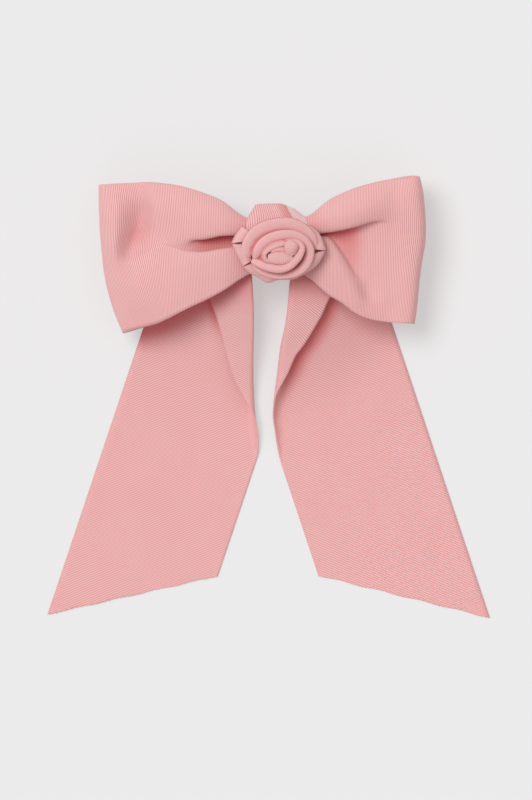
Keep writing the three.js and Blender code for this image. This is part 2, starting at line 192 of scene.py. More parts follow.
@dataclass
class Sheet:
    """A net of points on a piece of ribbon: rows lie along the ribs, and columns along the ribbon.

    Its shade is painted shade: how deep in a fold each point lies, from 0 to 1.
    """

    points: np.ndarray
    along: np.ndarray
    across: np.ndarray
    shade: np.ndarray | float = 0.0

    def to_object(self, name: str, closed: bool = False) -> bpy.types.Object:
        """Make the net a mesh whose weave map holds each point's place on the ribbon.

        Args:
            name: The new object's name.
            closed: True where the last row meets the first.

        Returns:
            The new object, in metres.
        """
        rows, columns = self.points.shape[:2]
        ids = np.arange(rows * columns).reshape(rows, columns)
        if closed:
            ids = np.vstack([ids, ids[:1]])
        corners = (ids[:-1, :-1], ids[1:, :-1], ids[1:, 1:], ids[:-1, 1:])
        quads = np.stack([c.ravel() for c in corners], axis=1)
        mesh = bpy.data.meshes.new(name)
        mesh.from_pydata((self.points.reshape(-1, 3) * MM).tolist(), [], quads.tolist())
        along = np.broadcast_to(self.along.reshape(rows, -1), (rows, columns)).ravel()
        across = np.broadcast_to(self.across.reshape(-1, columns), (rows, columns)).ravel()
        shade = np.broadcast_to(self.shade, (rows, columns)).ravel()
        # The fold_shade attribute carries the painted shade to the material.
        for label, values in (("along", along), ("fold_shade", shade)):
            attribute = mesh.attributes.new(label, "FLOAT", "POINT")
            attribute.data.foreach_set("value", values.astype(np.float32))
        weave = mesh.uv_layers.new(name="weave")
        loop_points = np.empty(len(mesh.loops), dtype=np.int32)
        mesh.loops.foreach_get("vertex_index", loop_points)
        places = np.stack([across[loop_points], along[loop_points]], axis=1)
        weave.data.foreach_set("uv", places.astype(np.float32).ravel())
        mesh.polygons.foreach_set("use_smooth", np.ones(len(mesh.polygons), dtype=bool))
        obj = bpy.data.objects.new(name, mesh)
        bpy.context.scene.collection.objects.link(obj)
        return obj


def merge_points(obj: bpy.types.Object, distance: float = 0.01) -> None:
    """Join points that lie on each other and drop the faces that vanish.

    Args:
        obj: The mesh object to clean.
        distance: How close two points must lie, in millimetres.
    """
    work = bmesh.new()
    work.from_mesh(obj.data)
    bmesh.ops.remove_doubles(work, verts=work.verts, dist=distance * MM)
    bmesh.ops.dissolve_degenerate(work, edges=work.edges, dist=distance * MM)
    loose = [v for v in work.verts if not v.link_faces]
    bmesh.ops.delete(work, geom=loose, context="VERTS")
    work.to_mesh(obj.data)
    work.free()


# ---------------------------------------------------------------------------------------------------
# Node trees
# ---------------------------------------------------------------------------------------------------


class NodeBuilder:
    """Adds nodes to a tree in a few words and wires them up."""

    def __init__(self, tree: bpy.types.NodeTree) -> None:
        """Take the tree to build in."""
        self.tree = tree

    def add(self, kind: str, inputs: dict | None = None, **settings: object) -> bpy.types.Node:
        """Add one node.

        Args:
            kind: Blender's name for the type of node.
            inputs: Socket names or numbers, each with a value or the socket that feeds it.
            settings: Attributes of the node, such as operation.

        Returns:
            The new node.
        """
        node = self.tree.nodes.new(kind)
        for name, value in settings.items():
            setattr(node, name, value)
        self.fill(node, inputs or {})
        return node

    def fill(self, node: bpy.types.Node, inputs: dict) -> None:
        """Set a node's inputs.

        Args:
            node: The node.
            inputs: Socket names or numbers, each with a value or the socket that feeds it.
        """
        for name, value in inputs.items():
            if isinstance(value, bpy.types.NodeSocket):
                self.tree.links.new(value, node.inputs[name])
            else:
                node.inputs[name].default_value = value

    def mix(self, share: object, first: object, second: object) -> bpy.types.NodeSocket:
        """Add a Mix node for two colours and return its result."""
        inputs = {"Factor": share, "A": first, "B": second}
        return self.add("ShaderNodeMix", inputs, data_type="RGBA").outputs["Result"]

    def math(self, operation: str, *values: object) -> bpy.types.NodeSocket:
        """Add a Math node and return its result."""
        kind = "ShaderNodeMath"
        return self.add(kind, dict(enumerate(values)), operation=operation).outputs[0]

    def socket(self, name: str, way: str, kind: str, value: object = None) -> None:
        """Add a named socket to the tree's outside.

        Args:
            name: The socket's name.
            way: INPUT or OUTPUT.
            kind: The socket's type, such as Float.
            value: Its value where nothing is linked.
        """
        socket = self.tree.interface.new_socket(name=name, in_out=way, socket_type=f"NodeSocket{kind}")
        if value is not None:
            socket.default_value = value


def geometry_tree(
    name: str, sockets: dict[str, tuple[str, object]]
) -> tuple[NodeBuilder, bpy.types.Node]:
    """Start a Geometry Nodes tree with a geometry input and named values.

    Args:
        name: The tree's name.
        sockets: Each input's name, with its type and value.

    Returns:
        The tree's builder and its input node.
    """
    tree = bpy.data.node_groups.new(name, "GeometryNodeTree")
    tree.is_modifier = True
    build = NodeBuilder(tree)
    build.socket("Geometry", "INPUT", "Geometry")
    for socket, (kind, value) in sockets.items():
        build.socket(socket, "INPUT", kind, value)
    build.socket("Geometry", "OUTPUT", "Geometry")
    return build, build.add("NodeGroupInput")


def finish_tree(
    build: NodeBuilder, shape: bpy.types.NodeSocket, material: bpy.types.NodeSocket
) -> None:
    """End a Geometry Nodes tree with plain, smooth, dressed geometry.

    Args:
        build: The tree's builder.
        shape: The geometry to put out.
        material: The material to give it.
    """
    real = build.add("GeometryNodeRealizeInstances", {"Geometry": shape})
    smooth = build.add("GeometryNodeSetShadeSmooth", {"Geometry": real.outputs[0]})
    dressed = build.add("GeometryNodeSetMaterial", {"Geometry": smooth.outputs[0], "Material": material})
    build.add("NodeGroupOutput", {"Geometry": dressed.outputs[0]})


def apply_tree(
    obj: bpy.types.Object, tree: bpy.types.NodeTree, values: dict[str, object]
) -> bpy.types.Object:
    """Run a Geometry Nodes tree on an object after its other modifiers, and keep the plain mesh.

    Args:
        obj: The object, whose mesh is replaced.
        tree: The tree to run.
        values: The tree's inputs by name.

    Returns:
        The same object.
    """
    modifier = obj.modifiers.new(tree.name, "NODES")
    modifier.node_group = tree
    sockets = {s.name: s.identifier for s in tree.interface.items_tree if s.in_out == "INPUT"}
    for name, value in values.items():
        modifier[sockets[name]] = value
    graph = bpy.context.evaluated_depsgraph_get()
    baked = bpy.data.meshes.new_from_object(obj.evaluated_get(graph), depsgraph=graph)
    obj.modifiers.clear()
    obj.data = baked
    baked.name = obj.name
    return obj


class GeometryTools:
    """The Geometry Nodes trees that the bow's pieces share."""

    fray_steps: int = 5
    fray_sides: int = 5
    fray_middle: tuple[float, float, float] = (0.5, 0.1, 0.12)
    fray_end: tuple[float, float, float] = (1, -0.05, 0)
    fray_least_lean: tuple[float, float, float] = (-0.5, -0.12, -0.55)
    fray_most_lean: tuple[float, float, float] = (0.5, 0.05, 0.55)
    fray_least_size: float = 0.15
    size_seed_step: int = 7
    wrap_sides: int = 8
    wrap_steps: int = 40

    def __init__(self) -> None:
        """Build each tree once."""
        self.ribs = self._ribs()
        self.fray = self._fray()
        self.wraps = self._wraps()

    @staticmethod
    def _ribs() -> bpy.types.NodeTree:
        """Raise the ribs of a ribbon along its length, on both faces and at its edges.

        Returns:
            The tree, whose inputs are the ribs' pitch and depth and the material.
        """
        sockets = {"Pitch": ("Float", 1.0), "Depth": ("Float", 0.0001), "Material": ("Material", None)}
        build, given = geometry_tree("ribbon_ribs", sockets)
        along = build.add("GeometryNodeInputNamedAttribute", {"Name": "along"}, data_type="FLOAT")
        turns = build.math("DIVIDE", along.outputs["Attribute"], given.outputs["Pitch"])
        wave = build.math("ABSOLUTE", build.math("SINE", build.math("MULTIPLY", turns, math.pi)))
        height = build.math("MULTIPLY", wave, given.outputs["Depth"])
        normal = build.add("GeometryNodeInputNormal")
        lift = build.add("ShaderNodeVectorMath", {0: normal.outputs[0], "Scale": height}, operation="SCALE")
        raised = build.add(
            "GeometryNodeSetPosition", {"Geometry": given.outputs["Geometry"], "Offset": lift.outputs[0]}
        )
        finish_tree(build, raised.outputs[0], given.outputs["Material"])
        return build.tree

    def _fray(self) -> bpy.types.NodeTree:
        """Set short loose threads along a line of edges, leaning at random.

        Returns:
            The tree, whose inputs are the threads' sizes, heading, seed and material.
        """
        sockets = {
            "Spacing": ("Float", 0.0008),
            "Length": ("Float", 0.002),
            "Radius": ("Float", 0.00007),
            "Heading": ("Float", 0.0),
            "Seed": ("Int", 1),
            "Material": ("Material", None),
        }
        build, given = geometry_tree("frayed_threads", sockets)
        line = build.add("GeometryNodeMeshToCurve", {"Mesh": given.outputs["Geometry"]})
        points = build.add(
            "GeometryNodeCurveToPoints",
            {"Curve": line.outputs[0], "Length": given.outputs["Spacing"]},
            mode="LENGTH",
        )
        thread = build.add(
            "GeometryNodeCurveQuadraticBezier",
            {
                "Resolution": self.fray_steps,
                "Start": (0, 0, 0),
                "Middle": self.fray_middle,
                "End": self.fray_end,
            },
        )
        scale = build.add("ShaderNodeCombineXYZ", {axis: given.outputs["Length"] for axis in "XYZ"})
        long = build.add(
            "GeometryNodeTransform", {"Geometry": thread.outputs[0], "Scale": scale.outputs[0]}
        )
        ring = build.add(
            "GeometryNodeCurvePrimitiveCircle",
            {"Resolution": self.fray_sides, "Radius": given.outputs["Radius"]},
        )
        solid = build.add(
            "GeometryNodeCurveToMesh",
            {"Curve": long.outputs[0], "Profile Curve": ring.outputs["Curve"], "Fill Caps": True},
        )
        lean = build.add(
            "FunctionNodeRandomValue",
            {
                "Min": self.fray_least_lean,
                "Max": self.fray_most_lean,
                "Seed": given.outputs["Seed"],
            },
            data_type="FLOAT_VECTOR",
        )
        heading = build.add("ShaderNodeCombineXYZ", {"Z": given.outputs["Heading"]})
        turn = build.add(
            "ShaderNodeVectorMath", {0: lean.outputs["Value"], 1: heading.outputs[0]}, operation="ADD"
        )
        # Sockets 2 and 3 of Random Value are the least and the most of a float draw.
        size_seed = build.math("ADD", given.outputs["Seed"], self.size_seed_step)
        size = build.add(
            "FunctionNodeRandomValue",
            {2: self.fray_least_size, 3: 1.0, "Seed": size_seed},
            data_type="FLOAT",
        )
        placed = build.add(
            "GeometryNodeInstanceOnPoints",
            {
                "Points": points.outputs["Points"],
                "Instance": solid.outputs[0],
                "Rotation": turn.outputs[0],
                "Scale": size.outputs[1],
            },
        )
        finish_tree(build, placed.outputs[0], given.outputs["Material"])
        return build.tree

    def _wraps(self) -> bpy.types.NodeTree:
        """Wind a thread round and round in a flattened coil.

        Returns:
            The tree, whose inputs are the coil's sizes, place and material.
        """
        sockets = {
            "Turns": ("Float", 6.0),
            "Radius": ("Float", 0.00018),
            "Pitch": ("Float", 0.0004),
            "Half Sizes": ("Vector", (1.0, 1.0, 1.0)),
            "Place": ("Vector", (0.0, 0.0, 0.0)),
            "Material": ("Material", None),
        }
        build, given = geometry_tree("thread_wraps", sockets)
        rise = build.math("MULTIPLY", given.outputs["Turns"], given.outputs["Pitch"])
        coil = build.add(
            "GeometryNodeCurveSpiral",
            {
                "Resolution": self.wrap_steps,
                "Rotations": given.outputs["Turns"],
                "Start Radius": 1.0,
                "End Radius": 1.0,
                "Height": rise,
            },
        )
        squashed = build.add(
            "GeometryNodeTransform",
            {"Geometry": coil.outputs[0], "Scale": given.outputs["Half Sizes"]},
        )
        ring = build.add(
            "GeometryNodeCurvePrimitiveCircle",
            {"Resolution": self.wrap_sides, "Radius": given.outputs["Radius"]},
        )
        solid = build.add(
            "GeometryNodeCurveToMesh",
            {"Curve": squashed.outputs[0], "Profile Curve": ring.outputs["Curve"], "Fill Caps": True},
        )
        placed = build.add(
            "GeometryNodeTransform",
            {
                "Geometry": solid.outputs[0],
                "Translation": given.outputs["Place"],
                "Rotation": (math.pi / 2, 0.0, math.pi / 2),
            },
        )
        finish_tree(build, placed.outputs[0], given.outputs["Material"])
        return build.tree


# ---------------------------------------------------------------------------------------------------
# Finishes
# ---------------------------------------------------------------------------------------------------


def new_material(name: str) -> tuple[bpy.types.Material, NodeBuilder, bpy.types.Node]:
    """Start a material.

    Args:
        name: The material's name.

    Returns:
        The material, the builder of its tree, and its shader.
    """
    material = bpy.data.materials.new(name)
    material.use_nodes = True
    return material, NodeBuilder(material.node_tree), material.node_tree.nodes["Principled BSDF"]


class SurfaceGroups:
    """Shader node groups that the finishes use."""

    patch_detail: float = 3.0
    fibre_detail: float = 2.0
    groove_sharpness: float = 1.5

    def __init__(self) -> None:
        """Build each group once."""
        self.mottle = self._mottle()
        self.ribs = self._ribs()

    def _mottle(self) -> bpy.types.NodeTree:
        """Vary a colour gently over an object, with a fine fibre height.

        Returns:
            The group, which puts out the colour and the fibre's height.
        """
        tree = bpy.data.node_groups.new("mottle", "ShaderNodeTree")
        build = NodeBuilder(tree)
        build.socket("Colour", "INPUT", "Color", (0.8, 0.8, 0.8, 1.0))
        build.socket("Second Colour", "INPUT", "Color", (0.7, 0.7, 0.7, 1.0))
        build.socket("Patch Scale", "INPUT", "Float", 60.0)
        build.socket("Fibre Scale", "INPUT", "Float", 3000.0)
        build.socket("Colour", "OUTPUT", "Color")
        build.socket("Fibre", "OUTPUT", "Float")
        given = build.add("NodeGroupInput")
        place = build.add("ShaderNodeTexCoord").outputs["Object"]
        patch = build.add(
            "ShaderNodeTexNoise",
            {"Vector": place, "Scale": given.outputs["Patch Scale"], "Detail": self.patch_detail},
        )
        fibre = build.add(
            "ShaderNodeTexNoise",
            {"Vector": place, "Scale": given.outputs["Fibre Scale"], "Detail": self.fibre_detail},
        )
        mixed = build.mix(patch.outputs["Fac"], given.outputs["Colour"], given.outputs["Second Colour"])
        build.add("NodeGroupOutput", {"Colour": mixed, "Fibre": fibre.outputs["Fac"]})
        return tree

    def _ribs(self) -> bpy.types.NodeTree:
        """Find the grooves between a ribbon's ribs and the fine warp threads that cross them.

        Returns:
            The group, which puts out masks of the grooves and of the warp.
        """
        tree = bpy.data.node_groups.new("rib_weave", "ShaderNodeTree")
        build = NodeBuilder(tree)
        build.socket("Place", "INPUT", "Vector")
        build.socket("Pitch", "INPUT", "Float", 1.0)
        build.socket("Threads", "INPUT", "Float", 3.0)
        build.socket("Groove", "OUTPUT", "Float")
        build.socket("Warp", "OUTPUT", "Float")
        given = build.add("NodeGroupInput")
        axes = build.add("ShaderNodeSeparateXYZ", {"Vector": given.outputs["Place"]})
        turns = build.math("DIVIDE", axes.outputs["Y"], given.outputs["Pitch"])
        wave = build.math("ABSOLUTE", build.math("SINE", build.math("MULTIPLY", turns, math.pi)))
        # This mask sets where shade is painted between the ribs.
        groove_shade = build.math("POWER", build.math("SUBTRACT", 1.0, wave), self.groove_sharpness)
        step = build.math("MULTIPLY", axes.outputs["X"], given.outputs["Threads"])
        warp = build.math("ABSOLUTE", build.math("SINE", build.math("MULTIPLY", step, math.pi)))
        build.add("NodeGroupOutput", {"Groove": groove_shade, "Warp": warp})
        return tree


@dataclass(frozen=True)
class RibbonFinish:
    """Woven ribbed ribbon: matt, softly sheened, with painted shade that darkens its grooves and folds."""

    name: str = "ribbed_ribbon"
    colour: Colour = (0.84, 0.525, 0.515)
    shade: Colour = (0.81, 0.485, 0.475)
    # Painted shade: darker, redder colours for the grooves between the ribs and for deep folds.
    groove_shade: Colour = (0.50, 0.13, 0.13)
    groove_shade_share: float = 0.9
    # Colour of the painted shade deep in folds.
    deep: Colour = (0.64, 0.07, 0.08)
    fold_shade_share: float = 0.8
    pitch: float = RibbonStock.rib_pitch
    fibre_share: float = 0.6
    bump: float = 0.12
    bump_height: float = 0.00015
    roughness: float = 0.78
    specular: float = 0.25
    sheen: float = 0.2
    sheen_roughness: float = 0.45
    sheen_tint: Colour = (1.0, 0.82, 0.8)
    subsurface: float = 0.35
    scatter: float = 0.0014
    scatter_radius: tuple[float, float, float] = (1.0, 0.35, 0.3)

    def material(self, groups: SurfaceGroups) -> bpy.types.Material:
        """Make the material.

        Args:
            groups: The shared node groups.

        Returns:
            The new material.
        """
        material, build, shader = new_material(self.name)
        mottle = build.add(
            "ShaderNodeGroup",
            {"Colour": (*self.colour, 1.0), "Second Colour": (*self.shade, 1.0)},
            node_tree=groups.mottle,
        )
        place = build.add("ShaderNodeUVMap", uv_map="weave").outputs["UV"]
        ribs = build.add(
            "ShaderNodeGroup", {"Pitch": self.pitch, "Place": place}, node_tree=groups.ribs
        )
        # Painted shade between the ribs.
        share = build.math("MULTIPLY", ribs.outputs["Groove"], self.groove_shade_share)
        groove_shaded = build.mix(share, mottle.outputs["Colour"], (*self.groove_shade, 1.0))
        # Painted shade in folds: the fold_shade attribute mixes in the darker fold colour.
        fold = build.add("ShaderNodeAttribute", attribute_name="fold_shade").outputs["Fac"]
        depth = build.math("MULTIPLY", fold, self.fold_shade_share)
        fold_shaded = build.mix(depth, groove_shaded, (*self.deep, 1.0))
        fibre = build.math("MULTIPLY", mottle.outputs["Fibre"], self.fibre_share)
        height = build.math("ADD", fibre, ribs.outputs["Warp"])
        bump = build.add(
            "ShaderNodeBump", {"Strength": self.bump, "Distance": self.bump_height, "Height": height}
        )
        build.fill(
            shader,
            {
                "Base Color": fold_shaded,
                "Normal": bump.outputs["Normal"],
                "Roughness": self.roughness,
                "Specular IOR Level": self.specular,
                "Sheen Weight": self.sheen,
                "Sheen Roughness": self.sheen_roughness,
                "Sheen Tint": (*self.sheen_tint, 1.0),
                "Subsurface Weight": self.subsurface,
                "Subsurface Radius": self.scatter_radius,
                "Subsurface Scale": self.scatter,
            },
        )
        return material


@dataclass(frozen=True)
class SoftFinish:
    """Felt or thread: matt, fuzzy and lightly mottled."""

    name: str
    colour: Colour
    shade: Colour
    patch_scale: float = 200.0
    fibre_scale: float = 4000.0
    bump: float = 0.5
    bump_height: float = 0.0002
    roughness: float = 0.9
    sheen: float = 0.5

    def material(self, groups: SurfaceGroups) -> bpy.types.Material:
        """Make the material.

        Args:
            groups: The shared node groups.

        Returns:
            The new material.
        """
        material, build, shader = new_material(self.name)
        mottle = build.add(
            "ShaderNodeGroup",
            {
                "Colour": (*self.colour, 1.0),
                "Second Colour": (*self.shade, 1.0),
                "Patch Scale": self.patch_scale,
                "Fibre Scale": self.fibre_scale,
            },
            node_tree=groups.mottle,
        )
        bump = build.add(
            "ShaderNodeBump",
            {
                "Strength": self.bump,
                "Distance": self.bump_height,
                "Height": mottle.outputs["Fibre"],
            },
        )
        build.fill(
            shader,
            {
                "Base Color": mottle.outputs["Colour"],
                "Normal": bump.outputs["Normal"],
                "Roughness": self.roughness,
                "Sheen Weight": self.sheen,
            },
        )
        return material


@dataclass(frozen=True)
class SteelFinish:
    """Plated or tempered steel: brushed along the clip, rubbed in patches."""

    name: str
    colour: Colour
    worn: Colour
    patch_scale: float = 90.0
    brush_scale: tuple[float, float, float] = (150.0, 6000.0, 6000.0)
    brush_detail: float = 3.0
    bump: float = 0.1
    bump_height: float = 0.00005
    roughness: float = 0.22
    rough_spread: float = 0.2

    def material(self, groups: SurfaceGroups) -> bpy.types.Material:
        """Make the material.

        Args:
            groups: The shared node groups.

        Returns:
            The new material.
        """
        material, build, shader = new_material(self.name)
        mottle = build.add(
            "ShaderNodeGroup",
            {
                "Colour": (*self.colour, 1.0),
                "Second Colour": (*self.worn, 1.0),
                "Patch Scale": self.patch_scale,
            },
            node_tree=groups.mottle,
        )
        place = build.add("ShaderNodeTexCoord").outputs["Object"]
        stretch = build.add("ShaderNodeMapping", {"Vector": place, "Scale": self.brush_scale})
        brushed = build.add(
            "ShaderNodeTexNoise",
            {"Vector": stretch.outputs[0], "Scale": 1.0, "Detail": self.brush_detail},
        )
        spread = build.math("MULTIPLY", brushed.outputs["Fac"], self.rough_spread)
        roughness = build.math("ADD", spread, self.roughness - self.rough_spread / 2)
        bump = build.add(
            "ShaderNodeBump",
            {
                "Strength": self.bump,
                "Distance": self.bump_height,
                "Height": brushed.outputs["Fac"],
            },
        )
        build.fill(
            shader,
            {
                "Base Color": mottle.outputs["Colour"],
                "Roughness": roughness,
                "Normal": bump.outputs["Normal"],
                "Metallic": 1.0,
            },
        )
        return material


# ---------------------------------------------------------------------------------------------------
# Shared workshop
# ---------------------------------------------------------------------------------------------------


@dataclass
class Workshop:
    """What every sub-assembly is made with: the ribbon, the trees, the materials and the knot's place."""

    stock: RibbonStock
    tools: GeometryTools
    ribbon: bpy.types.Material
    # Painted shade: the rosette's material is a darker copy of the ribbon's colour.
    rosette: bpy.types.Material
    # Painted light: a lighter copy of the ribbon's colour for the knot's inner turn.
    lit_knot_ribbon: bpy.types.Material
    felt: bpy.types.Material
    thread: bpy.types.Material
    nickel: bpy.types.Material
    spring: bpy.types.Material
    knot: np.ndarray

    def weave(
        self, obj: bpy.types.Object, material: bpy.types.Material, thickness: float
    ) -> bpy.types.Object:
        """Give a sheet its thickness and ribs.

        Args:
            obj: A one-layer sheet.
            material: The ribbon's material.
            thickness: The cloth's thickness.

        Returns:
            The same object, as a closed mesh.
        """
        wall = obj.modifiers.new("thickness", "SOLIDIFY")
        wall.thickness = thickness * MM
        wall.offset = 0.0
        wall.use_even_offset = False
        values = {
            "Pitch": self.stock.rib_pitch,
            "Depth": self.stock.rib_depth * MM,
            "Material": material,
        }
        return apply_tree(obj, self.tools.ribs, values)


# ---------------------------------------------------------------------------------------------------
# The bow's loops
# ---------------------------------------------------------------------------------------------------


@dataclass(frozen=True)
class Rib:
    """One control line across the ribbon, from its top edge to its bottom edge.

    Each list's numbers are spread evenly over the line.
    """

    x: Numbers
    y: Numbers
    z: Numbers

    def points(self, count: int) -> np.ndarray:
        """Spread the line over a number of points.

        Args:
            count: How many.

        Returns:
            The points, in rows of x, y and height.
        """
        places = np.linspace(0.0, 1.0, count)
        spread = [np.interp(places, np.linspace(0.0, 1.0, len(v)), v) for v in (self.x, self.y, self.z)]
        return np.stack(spread, axis=1)


FRONT_RIBS = 8

LEFT_LOOP = (
    Rib(
        (-1, -1),
        (9.5, 7.8, 6, 3.6, 3.8, 0.5, -2.2, -1, -4.4, -7.4, -9.5),
        (22.6, 23.6, 23.8, 22.8, 20.4, 20.4, 21, 23.4, 23.8, 23.6, 22.4),
    ),
    Rib(
        (-13, -12),
        (10.2, 8.4, 6.2, 3.2, 3.8, 0.4, -3.2, -1.3, -3.8, -8.2, -12.2),
        (23, 25, 25.8, 24.6, 20.2, 20, 20.8, 24.8, 25.8, 25, 23.2),
    ),
    Rib(
        (-24, -23),
        (17.6, 13.8, 8.8, 3.2, 4.4, 0.4, -5, -2.4, -5.2, -12, -19.2),
        (23, 25.4, 26.8, 25.6, 20, 19.4, 20.6, 25.2, 26.5, 26.3, 25.2),
    ),
    Rib(
        (-31, -29),
        (20.4, 15.8, 9.8, 2, 3, -1, -5.6, -3.5, -6.5, -14, -22.4),
        (22.6, 25, 26.6, 25, 20.6, 20.4, 21.2, 25.2, 26.5, 26.1, 24.8),
    ),
    Rib(
        (-38.5, -35),
        (22.7, 17.3, 11, 3, -0.2, -1.8, -3.6, -3.6, -7.5, -16.5, -25.2),
        (21.8, 24.4, 25.4, 24.2, 22.8, 22.2, 22.6, 25, 26.2, 25.7, 24.2),
    ),
    Rib(
        (-50, -45),
        (24.4, 18.4, 12.4, 6.4, 3, 0.6, -0.9, -2.6, -10.5, -20.5, -30.2),
        (20.2, 22.4, 22.4, 21.4, 21.2, 22, 23.2, 23.8, 24.2, 23.5, 21.6),
    ),
    Rib(
        (-57, -56, -56, -57, -58, -58.8, -59.2, -58.6, -56.6, -54, -51),
        (24.4, 18.2, 12, 5.6, 2, -1.6, -4.8, -8, -15, -24, -32.6),
        (18.6, 18.4, 15.8, 14.2, 14.2, 15, 16.6, 19.2, 21.4, 21.2, 19.4),
    ),
    Rib(
        (-67, -66.4, -66, -66, -66.2, -66.4, -66.4, -66, -64.6, -61.8, -58.4),
        (23.9, 17.8, 11.4, 5, 1.4, -2.2, -5.6, -9.2, -16.8, -25.8, -34.4),
        (17, 18.8, 19.8, 20, 19.8, 19.6, 19.2, 19, 19, 18.4, 17),
    ),
    Rib(
        (-72.3, -72.2, -72, -71.7, -71.4, -71.1, -70.8, -70.4, -68.9, -66.2, -62.6),
        (23.5, 17.2, 10.8, 4.4, 0.8, -2.8, -6.2, -10, -17.8, -27, -35.9),
        (14.4, 14.4, 13.4),
    ),
    Rib(
        (-69.4, -69.3, -69.1, -68.8, -68.5, -68.2, -67.9, -67.5, -66, -63.3, -60),
        (23.5, 17.2, 10.8, 4.4, 0.8, -2.8, -6.2, -10, -17.8, -27, -35.2),
        (8.6, 8, 7.4),
    ),
    Rib((-50, -45), (24, -30), (9.4, 8.2)),
    Rib((-26, -25), (17, -19), (15, 14.6)),
    Rib((-13, -12), (10, -11.6), (19.4, 19.4)),
    Rib((-1, -1), (9, -9), (20.2, 20.2)),
)

RIGHT_LOOP = (
    Rib(
        (1, 1),
        (9.5, 8.2, 6.5, 4.4, 4.4, 3, 2, 0.6, -3.4, -7.4, -9.5),
        (22.4, 23.6, 23.8, 23, 20.4, 20.2, 20.4, 22.4, 23.4, 23.6, 22.4),
    ),
    Rib(
        (12, 12),
        (11, 9.2, 6.8, 4, 4.2, 3, 2.2, 1.2, -3.5, -8.4, -13.7),
        (23, 25.4, 26.2, 24.8, 20.4, 20.2, 20.6, 23.4, 25, 24.6, 22.6),
    ),
    Rib(
        (20, 20),
        (17.2, 13.6, 9.4, 4.8, 5.2, 3.2, 2.6, 1, -5, -12.5, -20.6),
        (23.4, 26.8, 28.2, 26.4, 20.6, 20.2, 20.6, 24.2, 25.8, 25, 22.8),
    ),
    Rib(
        (26, 25.6),
        (20.2, 15.6, 10.6, 5.8, 6.4, 2.4, -4, -6.2, -11, -17.5, -24),
        (23.4, 27, 28.6, 26.8, 21, 20.2, 20.6, 24.2, 25.8, 25, 22.8),
    ),
    Rib(
        (31, 30),
        (22.2, 17.2, 12, 7, 7.6, 2.6, -9.6, -14, -18.4, -23, -27.4),
        (23.4, 27, 28.4, 26.6, 21.6, 20.6, 20.4, 23.6, 24.8, 24.2, 22.6),
    ),
    Rib(
        (37, 35),
        (24, 18.8, 13.6, 8.8, 8.8, 4, -10, -19, -23.6, -27, -29.8),
        (23, 26.2, 27.4, 25.8, 22.6, 21.4, 21, 20.8, 22.2, 22.4, 21.6),
    ),
    Rib(
        (45, 43),
        (25.7, 20.4, 15, 10.2, 7.6, 3, -8, -17, -23.5, -28, -31.4),
        (22.6, 24.8, 25.2, 24.2, 23.2, 22.4, 22, 21.6, 21.2, 21, 20.6),
    ),
    Rib(
        (55.4, 56.7, 57.4, 57.8, 57.9, 57.6, 56.1, 55.1, 54.6, 54, 53.4),
        (26.7, 21, 14.8, 9, 5.4, 0.6, -8.6, -17, -23, -28, -32),
        (21.6, 22.8, 22.9, 22.7, 22.5, 22.3, 21.9, 21.5, 21.1, 20.7, 20.3),
    ),
    Rib(
        (56.4, 57.7, 58.4, 58.8, 58.9, 58.6, 57.1, 56.1, 55.6, 55, 54.4),
        (26.8, 21, 14.8, 8.8, 5, 0, -9, -17.4, -23.4, -28, -32.1),
        (19.2, 18.8, 17.8),
    ),
    Rib(
        (54.6, 56.4, 57.2, 57.6, 57.7, 57.4, 55.8, 54.6, 54, 53.4, 52.8),
        (27.2, 21, 14.8, 9, 5.4, 0.6, -8.6, -17, -23, -28, -32),
        (15.6, 15.2, 14.4),
    ),
    Rib((44, 42), (25.6, -30.6), (12.6, 12.2)),
    Rib((24, 24), (18.4, -22.4), (16, 15.8)),
    Rib((12, 12), (10.6, -13), (19.4, 19.4)),
    Rib((1, 1), (9, -9), (20.2, 20.2)),
)


